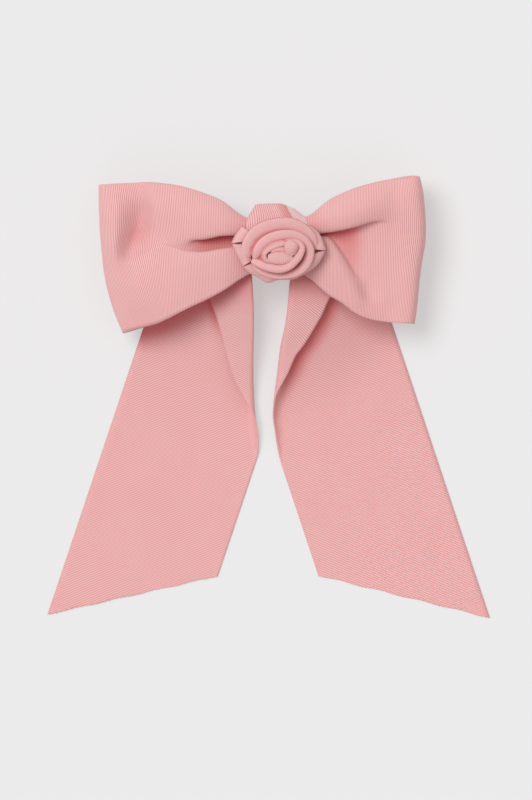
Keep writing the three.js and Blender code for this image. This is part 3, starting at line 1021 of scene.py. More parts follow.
@dataclass
class Loop:
    """A loop of the bow: ribbon that runs out from the knot in pleats, turns under and runs back behind."""

    name: str
    node: str
    ribs: Sequence[Rib]
    cut_length: float = 135.0
    columns: int = 61
    control_columns: int = 11
    guide_rows: int = 400
    front_share: float = 0.5
    # Painted shade where the front layer lies low between higher folds, and beside the knot.
    hollow_from: float = 1.0
    hollow_full: float = 9.0
    hollow_fade: tuple[float, float] = (0.4, 0.68)
    hollow_reach: tuple[float, float] = (30.0, 42.0)
    hollow_far_share: float = 0.7
    shade_reach: float = 3.0
    shade_columns: int = 2
    knot_shade: float = 0.3
    knot_fade: tuple[float, float] = (11.0, 24.0)

    def painted_hollow_shade(self, points: np.ndarray, knot: np.ndarray) -> np.ndarray:
        """Paint shade where a point lies deep between higher folds on both of its sides, or in beside the
        knot.

        Args:
            points: The loop's net, in rows across the ribbon.
            knot: The middle of the knot.

        Returns:
            The share of painted shade, from 0 on the open cloth to 1 in a deep fold.
        """
        heights = points[..., 2]
        above = np.maximum.accumulate(heights, axis=1)
        below = np.maximum.accumulate(heights[:, ::-1], axis=1)[:, ::-1]
        depth = smooth_step(self.hollow_from, self.hollow_full, np.minimum(above, below) - heights)
        under_lip = 1.0 - smooth_step(*self.hollow_fade, np.linspace(0.0, 1.0, points.shape[1]))
        away = np.linalg.norm((points - knot)[..., :2], axis=-1)
        beside = 1.0 - smooth_step(*self.knot_fade, away)
        near = 1.0 - (1.0 - self.hollow_far_share) * smooth_step(*self.hollow_reach, away)
        return np.maximum(depth * near * under_lip[None, :], beside * self.knot_shade)

    def build(self, shop: Workshop) -> bpy.types.Object:
        """Make the loop.

        Args:
            shop: The ribbon and the materials.

        Returns:
            The finished piece.
        """
        net = np.stack([rib.points(self.control_columns) for rib in self.ribs])
        net = net + shop.knot
        knots = run_lengths(net)
        dense = smooth_curve(net, knots, np.linspace(0, knots[-1], self.guide_rows))
        lengths = run_lengths(dense)
        rows = int(lengths[-1] / shop.stock.row_step)
        along = np.arange(rows) * shop.stock.row_step
        lines = smooth_curve(dense, lengths, along)
        columns = np.linspace(0.0, 1.0, self.columns)
        controls = np.linspace(0.0, 1.0, self.control_columns)
        points = smooth_curve(lines.transpose(1, 0, 2), controls, columns).transpose(1, 0, 2)
        points = shop.stock.scalloped(points, along)
        # Painted shade on the front layer only, softened so that it has no sudden edges.
        shade = self.painted_hollow_shade(points, shop.knot) * (along < along[-1] * self.front_share)[:, None]
        shade = softened(shade, int(self.shade_reach / shop.stock.row_step), self.shade_columns)
        sheet = Sheet(points, along, columns * shop.stock.width, shade)
        obj = shop.weave(sheet.to_object(self.name), shop.ribbon, shop.stock.thickness)
        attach(obj, "clip")
        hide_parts(self.node)
        return obj


# ---------------------------------------------------------------------------------------------------
# The tails
# ---------------------------------------------------------------------------------------------------


@dataclass
class Tail:
    """A long tail, laid flat: its inner side is folded over near the knot, and its end is cut askew."""

    name: str
    node: str
    side: Side
    top: tuple[float, float]
    heading: float
    fold_line: Sequence[tuple[float, float]]
    fold_radius: Sequence[tuple[float, float]]
    flare: float
    cut: tuple[float, float]
    start: tuple[float, float] = (0.0, -17.0)
    rise: float = 16.8
    table_gap: float = 0.35
    lift_near: float = 10.0
    lift_far: float = 58.0
    gather_x: float = 6.0
    gather_from: float = -14.0
    gather_to: float = -2.0
    gather_share: float = 0.25
    gather_flattening: float = 0.75
    pleats: int = 5
    pleat_height: float = 0.5
    lift_stretch: float = 1.22
    open_width: float = 33.0
    open_step: float = 1.83
    fold_columns: int = 38
    tuck_length: float = 12.0
    tuck: Sequence[tuple[float, float]] = ((0, 0), (-160, 0))
    # Painted shadow of the loop below its bottom edge, and painted shade beside the folded-over edge and
    # beside the knot.
    loop_edge: Sequence[tuple[float, float]] = ((0, 0),)
    loop_shade: float = 0.15
    loop_reach: float = 11.0
    crevice_width: float = 6.5
    crevice_fade: tuple[float, float] = (-68.0, -44.0)
    crevice_shade: float = 0.85
    fold_height: tuple[float, float] = (0.1, 1.2)
    knot_shade: float = 0.5
    knot_fade: tuple[float, float] = (-30.0, -12.0)
    cut_wave: float = 0.25
    cut_wave_rate: float = 0.45
    fray_length: float = 0.0
    fray_inset: float = 0.3
    fray_spacing: float = 0.5
    fray_radius: float = 0.06
    fray_seed: int = 3

    def painted_tail_shade(self, points: np.ndarray, height: np.ndarray) -> np.ndarray:
        """Paint shade where the tail runs in under its folded-over edge or beside the knot, and paint the
        loop's shadow below the loop.

        Args:
            points: The tail's net, outer edge first.
            height: How far the fold raises each point over the lower layer.

        Returns:
            The share of painted shade and shadow, from 0 on the open cloth to 1 in the deepest place.
        """
        out = self.side.value
        edge = points[:, -1]
        order = np.argsort(edge[:, 1])
        edge_x = np.interp(points[..., 1], edge[order, 1], edge[order, 0])
        clear = (points[..., 0] - edge_x) * out
        under = 1.0 - smooth_step(0.0, self.crevice_width, np.abs(clear))
        lower = 1.0 - smooth_step(*self.fold_height, height)
        fade = smooth_step(*self.crevice_fade, points[..., 1])
        painted_tail_shade = under * fade * lower * self.crevice_shade
        beside = smooth_step(*self.knot_fade, points[..., 1]) * self.knot_shade
        # Painted shadow of the loop, falling below its bottom edge.
        edge_y = np.interp(points[..., 0], *zip(*sorted(self.loop_edge)))
        below = (1.0 - smooth_step(0.0, self.loop_reach, edge_y - points[..., 1])) * self.loop_shade
        return np.maximum(np.maximum(painted_tail_shade, beside), below)

    def columns(self, stock: RibbonStock) -> np.ndarray:
        """Places across the ribbon, closer together where it is folded over."""
        open_part = np.arange(0.0, self.open_width, self.open_step)
        return np.concatenate([open_part, np.linspace(self.open_width, stock.width, self.fold_columns)])

    def laid_flat(self, along: np.ndarray, across: np.ndarray) -> np.ndarray:
        """Place the flat ribbon on the table, its outer edge first.

        Args:
            along: Length from the top, for each point.
            across: Distance from the outer edge, for each point.

        Returns:
            Each point's x and y.
        """
        out = self.side.value
        down = np.array([out * math.sin(self.heading), -math.cos(self.heading)])
        inward = np.array([-out * math.cos(self.heading), -math.sin(self.heading)])
        return np.array(self.top) + along[..., None] * down + across[..., None] * inward

    def folded(self, flat: np.ndarray) -> np.ndarray:
        """Fold what lies past the fold line over to the front.

        Args:
            flat: Each point's x and y.

        Returns:
            Each point's x, y and height over the table.
        """
        out = self.side.value
        line = np.array(self.fold_line)[::-1]
        y = np.clip(flat[..., 1], line[0, 1], line[-1, 1])
        step = 0.5
        near_x = []
        for shift in (0.0, step, -step):
            level = np.clip(y + shift, line[0, 1], line[-1, 1])
            near_x.append(smooth_curve(line[:, :1], line[:, 1], level.ravel()).reshape(y.shape))
        line_x, ahead, behind = near_x
        slope = (ahead - behind) / (2 * step)
        scale = 1.0 / np.sqrt(1.0 + slope**2)
        inward = np.stack([out * scale, -out * slope * scale], axis=-1)
        radii = np.array(self.fold_radius)[::-1]
        radius = np.interp(y, radii[:, 0], radii[:, 1])
        tucks = np.array(self.tuck)[::-1]
        level = np.clip(flat[..., 1], tucks[0, 0], tucks[-1, 0])
        tuck = smooth_curve(tucks[:, 1:], tucks[:, 0], level.ravel()).reshape(level.shape)
        distance = (flat[..., 0] - line_x) * out * scale
        foot = flat - inward * distance[..., None]
        beyond = radius - distance
        beyond = beyond - tuck * smooth_step(0.0, self.tuck_length, beyond)
        run = beyond - math.pi / 2 * radius
        turn = np.clip(run / radius, -math.pi / 2, math.pi / 2)
        past = np.maximum(run - math.pi / 2 * radius, 0.0)
        round_width = radius * (1.0 - np.cos(turn)) + past
        width = np.where(distance >= radius, distance, round_width)
        height = np.where(distance >= radius, 0.0, radius * (1.0 + np.sin(turn)) + past * self.flare)
        place = foot + inward * width[..., None]
        return np.concatenate([place, height[..., None]], axis=-1)

    def draped(self, points: np.ndarray, across: np.ndarray, stock: RibbonStock) -> np.ndarray:
        """Lift the top of the tail to the knot and gather it.

        Args:
            points: Each point's x, y and height over the table.
            across: Distance from the outer edge, for each column.
            stock: The ribbon.

        Returns:
            The points in their place.
        """
        x, y, z = (points[..., i] for i in range(3))
        centre = self.side.value * self.gather_x
        gathered = smooth_step(self.gather_from, self.gather_to, y)
        pull = 1.0 - (1.0 - self.gather_share) * gathered
        new_x = centre + (x - centre) * pull
        reach = np.sqrt(new_x**2 + (y / self.lift_stretch) ** 2)
        lift = self.rise * (1.0 - smooth_step(self.lift_near, self.lift_far, reach))
        pleats = gathered * self.pleat_height * np.sin(across / stock.width * self.pleats * math.pi)
        flatter = 1.0 - self.gather_flattening * gathered
        return np.stack([new_x, y, self.table_gap + lift + z * flatter + pleats], axis=-1)

    def build(self, shop: Workshop) -> bpy.types.Object:
        """Make the tail.

        Args:
            shop: The ribbon and the materials.

        Returns:
            The finished piece.
        """
        stock = shop.stock
        across = self.columns(stock)
        ends = np.interp(across, [0.0, stock.width], self.cut)
        ends = ends + self.cut_wave * np.sin(across * self.cut_wave_rate)
        starts = np.interp(across, [0.0, stock.width], self.start)
        rows = np.arange(min(self.start), max(ends) + stock.row_step, stock.row_step)
        along = np.clip(rows[:, None], starts[None, :], ends[None, :])
        flat = self.laid_flat(along, np.broadcast_to(across, along.shape))
        folded = self.folded(flat)
        points = self.draped(folded, across[None, :], stock)
        points = stock.scalloped(points, rows)
        sheet = Sheet(points + shop.knot, along, across, self.painted_tail_shade(points, folded[..., 2]))
        obj = sheet.to_object(self.name)
        merge_points(obj)
        shop.weave(obj, shop.ribbon, stock.thickness)
        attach(obj, "clip")
        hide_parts(self.node)
        if self.fray_length:
            self.fray(shop, across, ends)
        return obj

    def fray(self, shop: Workshop, across: np.ndarray, ends: np.ndarray) -> None:
        """Set loose threads along the cut end.

        Args:
            shop: The ribbon and the materials.
            across: Distance from the outer edge, for each column.
            ends: Where the ribbon is cut at each of them.
        """
        flat = self.laid_flat(ends - self.fray_inset, across)
        heights = np.full((len(across), 1), self.table_gap)
        points = np.concatenate([flat, heights], axis=1) + shop.knot
        mesh = bpy.data.meshes.new(f"{self.name}_fray")
        edges = [(i, i + 1) for i in range(len(points) - 1)]
        mesh.from_pydata((points * MM).tolist(), edges, [])
        obj = bpy.data.objects.new(mesh.name, mesh)
        bpy.context.scene.collection.objects.link(obj)
        heading = -math.pi / 2 + self.side.value * self.heading
        values = {
            "Spacing": self.fray_spacing * MM,
            "Length": self.fray_length * MM,
            "Radius": self.fray_radius * MM,
            "Heading": heading,
            "Seed": self.fray_seed + self.side.value,
            "Material": shop.thread,
        }
        apply_tree(obj, shop.tools.fray, values)
        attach(obj, "clip")


def bottom_edge(ribs: Sequence[Rib]) -> list[tuple[float, float]]:
    """List the x and y of a loop's bottom edge, along its front."""
    return [(rib.x[-1], rib.y[-1]) for rib in ribs[:FRONT_RIBS]]


def bow_tails() -> list[Tail]:
    """Describe the two tails.

    Returns:
        The left one and the right one.
    """
    left = Tail(
        name="tail_left_ribbon",
        node="tail_left",
        side=Side.LEFT,
        top=(-40.8, 7.2),
        heading=math.radians(18.5),
        fold_line=(
            (-11.6, -5), (-10.9, -15), (-10.4, -25), (-10.3, -60),
            (-9.6, -70), (-8.3, -78), (-8.0, -90), (-8.0, -160),
        ),
        fold_radius=((0, 1.0), (-40, 1.2), (-62, 2.2), (-72, 4.0), (-80, 4.0), (-88, 1.0), (-160, 0.5)),
        flare=0.06,
        cut=(165.0, 128.6),
        fray_length=1.0,
        gather_x=10.0,
        loop_edge=bottom_edge(LEFT_LOOP),
        loop_shade=0.7,
        crevice_fade=(-42.0, -24.0),
        crevice_width=5.0,
        crevice_shade=0.95,
        tuck=(
            (-10, 5.4), (-22, 5.2), (-37, 3.9), (-53, 3.0), (-64, 3.5), (-75, 2.8), (-90, 0), (-160, 0),
        ),
    )
    right = Tail(
        name="tail_right_ribbon",
        node="tail_right",
        side=Side.RIGHT,
        top=(31.6, 9.6),
        heading=math.radians(18.4),
        fold_line=(
            (6.4, -5), (4.6, -15), (3.7, -25), (2.6, -33), (0.9, -41), (-0.6, -53),
            (-2.0, -64), (-2.3, -70), (-1.2, -78), (1, -90), (1, -160),
        ),
        fold_radius=((0, 1.2), (-30, 1.8), (-50, 2.6), (-62, 4.0), (-74, 4.0), (-86, 1.0), (-160, 0.5)),
        flare=0.12,
        cut=(168.9, 131.0),
        crevice_width=9.0,
        loop_edge=bottom_edge(RIGHT_LOOP),
        tuck=(
            (-10, 8.6), (-22, 8.2), (-32, 7.9), (-39, 6.9), (-46, 5.2),
            (-53, 3.8), (-60, 2.8), (-75, 1.6), (-90, 0), (-160, 0),
        ),
    )
    return [left, right]


# ---------------------------------------------------------------------------------------------------
# The knot
# ---------------------------------------------------------------------------------------------------


@dataclass
class KnotBand:
    """The ribbon that wraps the gathers, with a second turn folded over its left side."""

    ring: Sequence[tuple[float, float]] = (
        (-10.0, 27.2), (-3.0, 27.8), (4.0, 27.8), (10.0, 27.0), (13.6, 25.2), (15.3, 22.2), (14.8, 19.2),
        (11.0, 18.0), (0.0, 17.9), (-10.0, 18.0), (-13.0, 19.2), (-13.9, 22.2), (-13.0, 25.6),
    )
    ring_centre: tuple[float, float] = (1.0, 22.5)
    half_width: float = 12.6
    columns: int = 26
    upper_edge: Sequence[tuple[float, float]] = (
        (-13, 9.4), (-9.3, 15.1), (2.6, 14.9), (5.4, 14.2), (10.9, 10.2), (13, 8.6),
    )
    lower_edge: Sequence[tuple[float, float]] = ((-13, 6.0), (-9, 9.5), (0, 12.8), (8, 11.0), (13, 6.5))
    crown: float = 0.2
    front_heights: tuple[float, float] = (20.0, 26.0)
    over_run: tuple[float, float] = (2.0, 44.0)
    over_thinning: int = 3
    over_length: float = 14.6
    over_overhang: float = 0.5
    over_reach: float = 6.0
    over_slant: float = 3.2
    over_slant_from: tuple[float, float] = (9.0, 16.0)
    over_lift: float = 0.9
    over_edge_from: float = 0.86
    over_edge_drop: float = 0.6
    # Painted shade along the free edge of the folded-over turn.
    over_shade: float = 0.4
    over_shade_from: float = 0.7

    def shaped(self, x: np.ndarray, y: np.ndarray) -> np.ndarray:
        """Draw the band in to its crooked upper and lower edges.

        Args:
            x: How far across the band each point is.
            y: How far up the even band it is.

        Returns:
            How far up the crooked band it is.
        """
        upper = np.interp(x, *zip(*self.upper_edge)) / max(p[0] for p in self.ring)
        lower = np.interp(x, *zip(*self.lower_edge)) / -min(p[0] for p in self.ring)
        return np.where(y > 0, y * upper, y * lower)

    def build(self, shop: Workshop) -> list[bpy.types.Object]:
        """Make the band's two layers.

        Args:
            shop: The ribbon and the materials.

        Returns:
            The finished pieces.
        """
        ring = np.array(self.ring + self.ring[:1])
        total = run_lengths(ring)[-1]
        along = np.linspace(0.0, total, int(total / shop.stock.row_step), endpoint=False)
        # Two points of the ring repeated at each end let the curve close smoothly.
        repeated = np.vstack([ring[-3:-1], ring, ring[1:3]])
        lengths = run_lengths(repeated)
        profile = smooth_curve(repeated, lengths, along + lengths[2])
        return [self._wrap(shop, profile, along), self._overlay(shop, profile, along)]

    def _wrap(self, shop: Workshop, profile: np.ndarray, along: np.ndarray) -> bpy.types.Object:
        """Make the inner turn, whose ribs run across the band.

        Args:
            shop: The ribbon and the materials.
            profile: The ring's points, as y and height.
            along: Length round the ring of each of them.

        Returns:
            The finished piece.
        """
        share = np.linspace(-1.0, 1.0, self.columns)
        x = np.broadcast_to(share[None, :] * self.half_width, (len(profile), self.columns))
        front = smooth_step(*self.front_heights, profile[:, 1])[:, None]
        crown = self.crown * (share[None, :] ** 2) * front
        y = self.shaped(x, np.broadcast_to(profile[:, :1], x.shape))
        z = profile[:, 1:] - crown
        points = np.stack([x, y, z], axis=-1) + shop.knot
        sheet = Sheet(points, along, (share + 1) * self.half_width)
        obj = sheet.to_object("knot_band_wrap", closed=True)
        shop.weave(obj, shop.lit_knot_ribbon, shop.stock.thickness)
        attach(obj, "clip")
        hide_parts("knot_band")
        return obj

    def _overlay(self, shop: Workshop, profile: np.ndarray, along: np.ndarray) -> bpy.types.Object:
        """Make the outer turn over the left side, whose ribs run up the band.

        Args:
            shop: The ribbon and the materials.
            profile: The ring's points, as y and height.
            along: Length round the ring of each of them.

        Returns:
            The finished piece.
        """
        start, end = self.over_run
        part = profile[(along > start) & (along < end)][:: self.over_thinning]
        run = run_lengths(part)
        steps = int(self.over_length / shop.stock.row_step)
        share = np.linspace(0.0, 1.0, steps)
        left = np.full(len(part), -self.half_width - self.over_overhang)
        right = self.over_reach - self.over_slant * smooth_step(*self.over_slant_from, part[:, 0])
        x = left[None, :] + (right - left)[None, :] * share[:, None]
        edge = 1.0 - smooth_step(self.over_edge_from, 1.0, share)[:, None] * self.over_edge_drop
        lift = self.over_lift * edge - (x / self.half_width) ** 2
        away = part - np.array(self.ring_centre)
        away = away / np.linalg.norm(away, axis=1, keepdims=True)
        y = self.shaped(x, part[None, :, 0] + away[None, :, 0] * lift)
        z = part[None, :, 1] + away[None, :, 1] * lift
        points = np.stack([x, y, z], axis=-1) + shop.knot
        # Painted shade along the folded-over turn's free edge.
        shade = self.over_shade * smooth_step(self.over_shade_from, self.over_edge_from, share)[:, None]
        obj = Sheet(points, share * self.over_length, run, shade).to_object("knot_band_fold")
        shop.weave(obj, shop.ribbon, shop.stock.thickness)
        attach(obj, "clip")
        return obj


# ---------------------------------------------------------------------------------------------------
# The rosette
# ---------------------------------------------------------------------------------------------------


@dataclass(frozen=True)
class Coil:
    """A stretch of the rosette's folded ribbon.

    Each point of its path is x, y, the width and the height of its crown.
    """

    name: str
    path: Sequence[tuple[float, float, float, float]]
    inner_drop: float = 6.0
    outer_drop: float = 7.0
    lean: float = 0.5
    # Painted shade in the creases: its strength, and how fast it fades in from the outer and the inner
    # edge.
    shade: float = 1.0
    outer_fade: float = 9.0
    inner_fade: float = 2.6
    crest: float = 0.8


@dataclass(frozen=True)
class Petal:
    """An outer turn of the rosette, between an outer and an inner edge of x, y and height."""

    name: str
    outer: Sequence[tuple[float, float, float]]
    inner: Sequence[tuple[float, float, float]]
    crown: float = 1.0
    # Painted shade, rising towards the inner edge.
    shade: float = 0.7
    shade_from: float = 0.35


COILS = (
    Coil(
        "rosette_coil_outer",
        (
            (-12.8, -7.6, 2.4, 31.4), (-13.0, -4.0, 3.8, 32.4), (-12.4, -0.6, 4.2, 33.0),
            (-10.2, 3.2, 4.4, 33.6), (-6.4, 5.8, 4.5, 34.0), (-1.6, 7.2, 4.5, 34.2),
            (3.2, 7.6, 4.5, 34.2), (7.8, 6.3, 4.5, 33.9), (11.4, 3.8, 4.2, 33.4),
            (13.6, 0.6, 3.4, 32.6), (14.4, -2.0, 2.0, 31.6),
        ),
    ),
    Coil(
        "rosette_coil_middle",
        (
            (-9.8, -6.4, 1.0, 33.2), (-8.6, -3.8, 3.2, 35.0), (-6.6, -0.6, 3.8, 35.8),
            (-3.3, 1.8, 3.7, 36.3), (1.6, 3.2, 3.4, 36.6), (6.4, 2.9, 3.3, 36.5),
            (10.4, 0.7, 3.0, 36.0), (12.2, -2.6, 3.1, 35.2), (11.7, -6.3, 3.3, 34.4),
            (9.8, -9.4, 3.3, 33.8), (6.8, -11.6, 2.9, 33.3), (2.6, -12.8, 2.4, 32.9),
            (-3.0, -12.6, 2.1, 32.6), (-7.6, -10.8, 1.9, 32.6), (-10.6, -8.4, 1.2, 32.4),
        ),
        inner_fade=1.8,
        crest=0.7,
    ),
    Coil(
        "rosette_coil_inner",
        (
            (-10.8, -7.0, 1.6, 33.6), (-7.9, -8.2, 2.8, 35.2), (-3.8, -9.6, 3.2, 36.0),
            (0.6, -10.2, 3.0, 36.5), (4.0, -9.2, 2.7, 36.9), (6.6, -7.0, 2.6, 37.2),
            (8.6, -4.2, 2.2, 37.4), (9.2, -1.8, 1.9, 37.5), (8.3, -0.2, 1.6, 37.5),
            (6.5, 0.8, 1.2, 37.2), (3.6, 1.0, 0.7, 36.4), (1.0, 0.6, 0.3, 35.4),
        ),
        outer_fade=3.0,
        crest=1.25,
    ),
)

BUD_COILS = (
    Coil(
        "rosette_bud_lip",
        (
            (3.4, 0.0, 1.4, 36.8), (0.8, -0.1, 2.2, 37.2), (-2.2, -1.0, 2.3, 37.3),
            (-4.6, -2.6, 1.9, 37.2), (-6.0, -4.4, 1.5, 37.0), (-5.6, -6.4, 1.2, 36.6),
            (-3.8, -7.6, 0.8, 36.0), (-1.0, -8.2, 0.4, 35.2),
        ),
        inner_drop=5.0,
        outer_drop=4.0,
        outer_fade=4.0,
        inner_fade=1.0,
        crest=0.7,
    ),
    Coil(
        "rosette_knob",
        (
            (5.2, -4.9, 2.4, 37.0), (4.9, -3.2, 4.6, 38.2), (5.0, -1.7, 5.3, 38.8),
            (5.4, -0.5, 4.8, 38.8), (5.9, 0.5, 3.0, 38.2),
        ),
        outer_fade=4.0,
        inner_fade=1.6,
    ),
    Coil(
        "rosette_bud_heart",
        (
            (-4.4, -5.8, 2.0, 36.4), (-2.6, -5.9, 3.9, 37.2), (0.2, -6.0, 4.8, 37.6),
            (2.8, -5.8, 4.6, 37.4), (5.2, -5.0, 3.0, 36.8),
        ),
        outer_fade=3.0,
        inner_fade=3.0,
    ),
    Coil(
        "rosette_bud_flap",
        ((-3.2, -3.6, 1.0, 36.4), (-1.8, -2.8, 1.6, 36.8), (0.4, -2.6, 1.9, 36.8), (3.4, -3.0, 1.6, 36.6)),
        outer_fade=2.0,
        inner_fade=1.0,
    ),
)

PETALS = (
    # A sheet painted deep in shade, filling the dark gaps under the coils.
    Petal(
        "rosette_core",
        ((-11.5, -4, 32.4), (-6, -9.6, 32.8), (0, -11.4, 33), (6, -9.8, 33), (11.5, -4, 32.6)),
        ((-11.5, -2, 32.4), (-6, 4.4, 32.8), (0, 6.4, 33), (6, 4.8, 33), (11.5, -2, 32.6)),
        shade=1.0,
        shade_from=-1.0,
    ),
    # A lower layer painted largely in shade, seen in the notches between the petals.
    Petal(
        "rosette_petal_under",
        (
            (-17.4, 1.6, 29.1), (-17.6, -0.4, 29.1), (-16.2, -4.6, 29.1), (-13.8, -8.8, 29.1),
            (-9.0, -11.6, 29.0), (0, -12.6, 28.9), (10.0, -10.6, 29.0), (15.2, -6.6, 29.1),
            (17.2, -2.6, 29.1), (16.4, 0.4, 29.1),
        ),
        (
            (-11.4, 0.8, 29.6), (-11.4, -0.6, 29.6), (-10.6, -2.6, 29.6), (-9.4, -5.0, 29.6),
            (-6.0, -7.0, 29.6), (0, -8.0, 29.6), (6.0, -7.0, 29.6), (9.6, -4.6, 29.6),
            (11.0, -2.0, 29.6), (10.8, 0.2, 29.6),
        ),
        crown=0.2,
        shade=0.85,
        shade_from=-1.0,
    ),
    Petal(
        "rosette_petal_lower",
        (
            (-14.0, -9.3, 29.8), (-11.8, -11.6, 29.2), (-8.6, -13.2, 28.9), (-4.5, -15.5, 28.7),
            (0, -14.3, 28.7), (5.2, -14.2, 28.7), (10.9, -11.5, 29.2), (16, -7.4, 30.0),
            (18.4, -3.0, 30.6),
        ),
        (
            (-10.6, -8.0, 32.0), (-8.6, -9.4, 32.0), (-6.2, -10.6, 32.0), (-3.2, -11.6, 32.0),
            (0, -12.0, 32.0), (4.0, -11.4, 32.0), (8.2, -9.4, 32.0), (11.4, -6.6, 32.0),
            (12.4, -4.5, 32.0),
        ),
    ),
    Petal(
        "rosette_petal_left",
        ((-18.5, -0.3, 30.5), (-17.2, -3.5, 30.3), (-15.4, -6.8, 30.3), (-14.2, -9.1, 30.4)),
        ((-13.4, -0.6, 31.6), (-12.6, -3.0, 31.6), (-11.8, -5.2, 31.6), (-10.8, -7.2, 31.6)),
    ),
    Petal(
        "rosette_petal_top_left",
        ((-14.7, 6.6, 29.8), (-16.2, 4.6, 29.8), (-17.8, 2.2, 30.0), (-18.8, -0.1, 30.6)),
        ((-10.6, 3.6, 31.0), (-11.8, 2.8, 31.0), (-12.8, 1.8, 31.0), (-13.4, 0.6, 31.0)),
    ),
    Petal(
        "rosette_petal_right",
        ((18.6, -2.8, 30.5), (17.4, 1.0, 30.0), (15.6, 4.2, 29.8), (13.2, 6.2, 29.6), (10.8, 7.4, 29.6)),
        ((12.4, -2.4, 31.2), (11.8, 0.8, 31.0), (10.8, 2.6, 31.0), (9.4, 3.8, 31.0), (7.8, 4.8, 31.0)),
    ),
)


@dataclass
class Rosette:
    """The rose on the knot: one folded ribbon, rolled up and let out into pointed petals."""

    floor: float = 28.8
    section_points: int = 22
    section_height: float = 0.34
    section_squareness: float = 0.6
    wall_points: int = 6
    inner_lean: float = 0.2
    # Strength of the painted shade on the coils' inner side.
    inner_shade: float = 0.9
    petal_squareness: float = 0.7
    lip_share: float = 0.12
    lip_drop: float = 0.8
    cloth: float = 0.7
    least_side: float = 10.5
    coils: Sequence[Coil] = COILS
    bud: Sequence[Coil] = BUD_COILS
    petals: Sequence[Petal] = PETALS

    def coil_sheet(self, shop: Workshop, coil: Coil) -> Sheet:
        """Sweep the folded ribbon's rounded section along a coil's path.

        Args:
            shop: The ribbon and the materials.
            coil: The stretch to make.

        Returns:
            The stretch's surface.
        """
        path = np.array(coil.path)
        lengths = run_lengths(path[:, :2])
        along = np.arange(0.0, lengths[-1], shop.stock.row_step)
        line = smooth_curve(path, lengths, along)
        ahead = np.gradient(line[:, :2], axis=0)
        ahead = ahead / np.linalg.norm(ahead, axis=1, keepdims=True)
        right = np.stack([ahead[:, 1], -ahead[:, 0]], axis=1)
        arc = np.linspace(0.0, math.pi, self.section_points)
        width = line[:, 2:3]
        side = -np.cos(arc)[None, :] * width / 2
        leaning = math.pi * (arc / math.pi) ** coil.crest
        rise = np.sin(leaning)[None, :] ** self.section_squareness * width * self.section_height
        base = line[:, 3:4] - width * self.section_height
        z = base + rise
        wall = np.linspace(1.0, 0.0, self.wall_points, endpoint=False)
        outer_side = -width / 2 - coil.lean * wall[None, :]
        outer_z = base - coil.outer_drop * wall[None, :]
        inner_side = width / 2 - self.inner_lean * wall[None, ::-1]
        inner_z = base - coil.inner_drop * wall[None, ::-1]
        side = np.concatenate([outer_side, side, inner_side], axis=1)
        z = np.maximum(np.concatenate([outer_z, z, inner_z], axis=1), self.floor)
        place = line[:, None, :2] + right[:, None, :] * side[..., None]
        points = np.concatenate([place, z[..., None]], axis=-1)
        across = run_lengths(points[len(points) // 2])
        # Painted shade: the crown darkens towards both of its edges, and the hidden walls are fully shaded.
        spread = np.linspace(-1.0, 1.0, self.section_points)
        outer_shade = np.abs(spread) ** coil.outer_fade
        inner_shade = np.abs(spread) ** coil.inner_fade * self.inner_shade
        crown = np.where(spread < 0, outer_shade, inner_shade) * coil.shade
        shade = np.concatenate([np.ones(self.wall_points), crown, np.ones(self.wall_points)])
        return Sheet(points + shop.knot, along, across, shade[None, :])

    def petal_sheet(self, shop: Workshop, petal: Petal) -> Sheet:
        """Stretch a crowned sheet between a petal's two edges.

        Args:
            shop: The ribbon and the materials.
            petal: The petal to make.

        Returns:
            The petal's surface.
        """
        outer, inner = np.array(petal.outer), np.array(petal.inner)
        lengths = run_lengths((outer + inner) / 2)
        along = np.arange(0.0, lengths[-1], shop.stock.row_step)
        edge = smooth_curve(outer, lengths, along)
        root = smooth_curve(inner, lengths, along)
        share = np.linspace(0.0, 1.0, self.section_points)[None, :, None]
        points = edge[:, None, :] * (1 - share) + root[:, None, :] * share
        points[..., 2] += np.sin(share[..., 0] * math.pi) ** self.petal_squareness * petal.crown
        points[..., 2] -= (1 - smooth_step(0.0, self.lip_share, share[..., 0])) * self.lip_drop
        across = run_lengths(points[len(points) // 2])
        # Painted shade, rising towards the inner edge.
        shade = smooth_step(petal.shade_from, 1.0, share[..., 0]) * petal.shade
        return Sheet(points + shop.knot, along, across, shade)

    def finish_piece(self, shop: Workshop, sheet: Sheet, name: str, node: str) -> bpy.types.Object:
        """Weave one stretch and attach it.

        Args:
            shop: The ribbon and the materials.
            sheet: The stretch's surface.
            name: The piece's name.
            node: The frame's node that it helps to stand for.

        Returns:
            The finished piece.
        """
        obj = shop.weave(sheet.to_object(name), shop.rosette, self.cloth)
        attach(obj, "clip")
        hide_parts(node)
        return obj

    def build(self, shop: Workshop) -> list[bpy.types.Object]:
        """Make the rosette's petals, coils and bud.

        Args:
            shop: The ribbon and the materials.

        Returns:
            The finished pieces.
        """
        pieces = []
        groups = (
            (self.petals, self.petal_sheet, "rosette_outer_petals"),
            (self.coils, self.coil_sheet, "rosette_coil"),
            (self.bud, self.coil_sheet, "rosette_bud"),
        )
        for members, make, node in groups:
            for member in members:
                pieces.append(self.finish_piece(shop, make(shop, member), member.name, node))
        return pieces


# ---------------------------------------------------------------------------------------------------
# The clip and its sewing
# ---------------------------------------------------------------------------------------------------


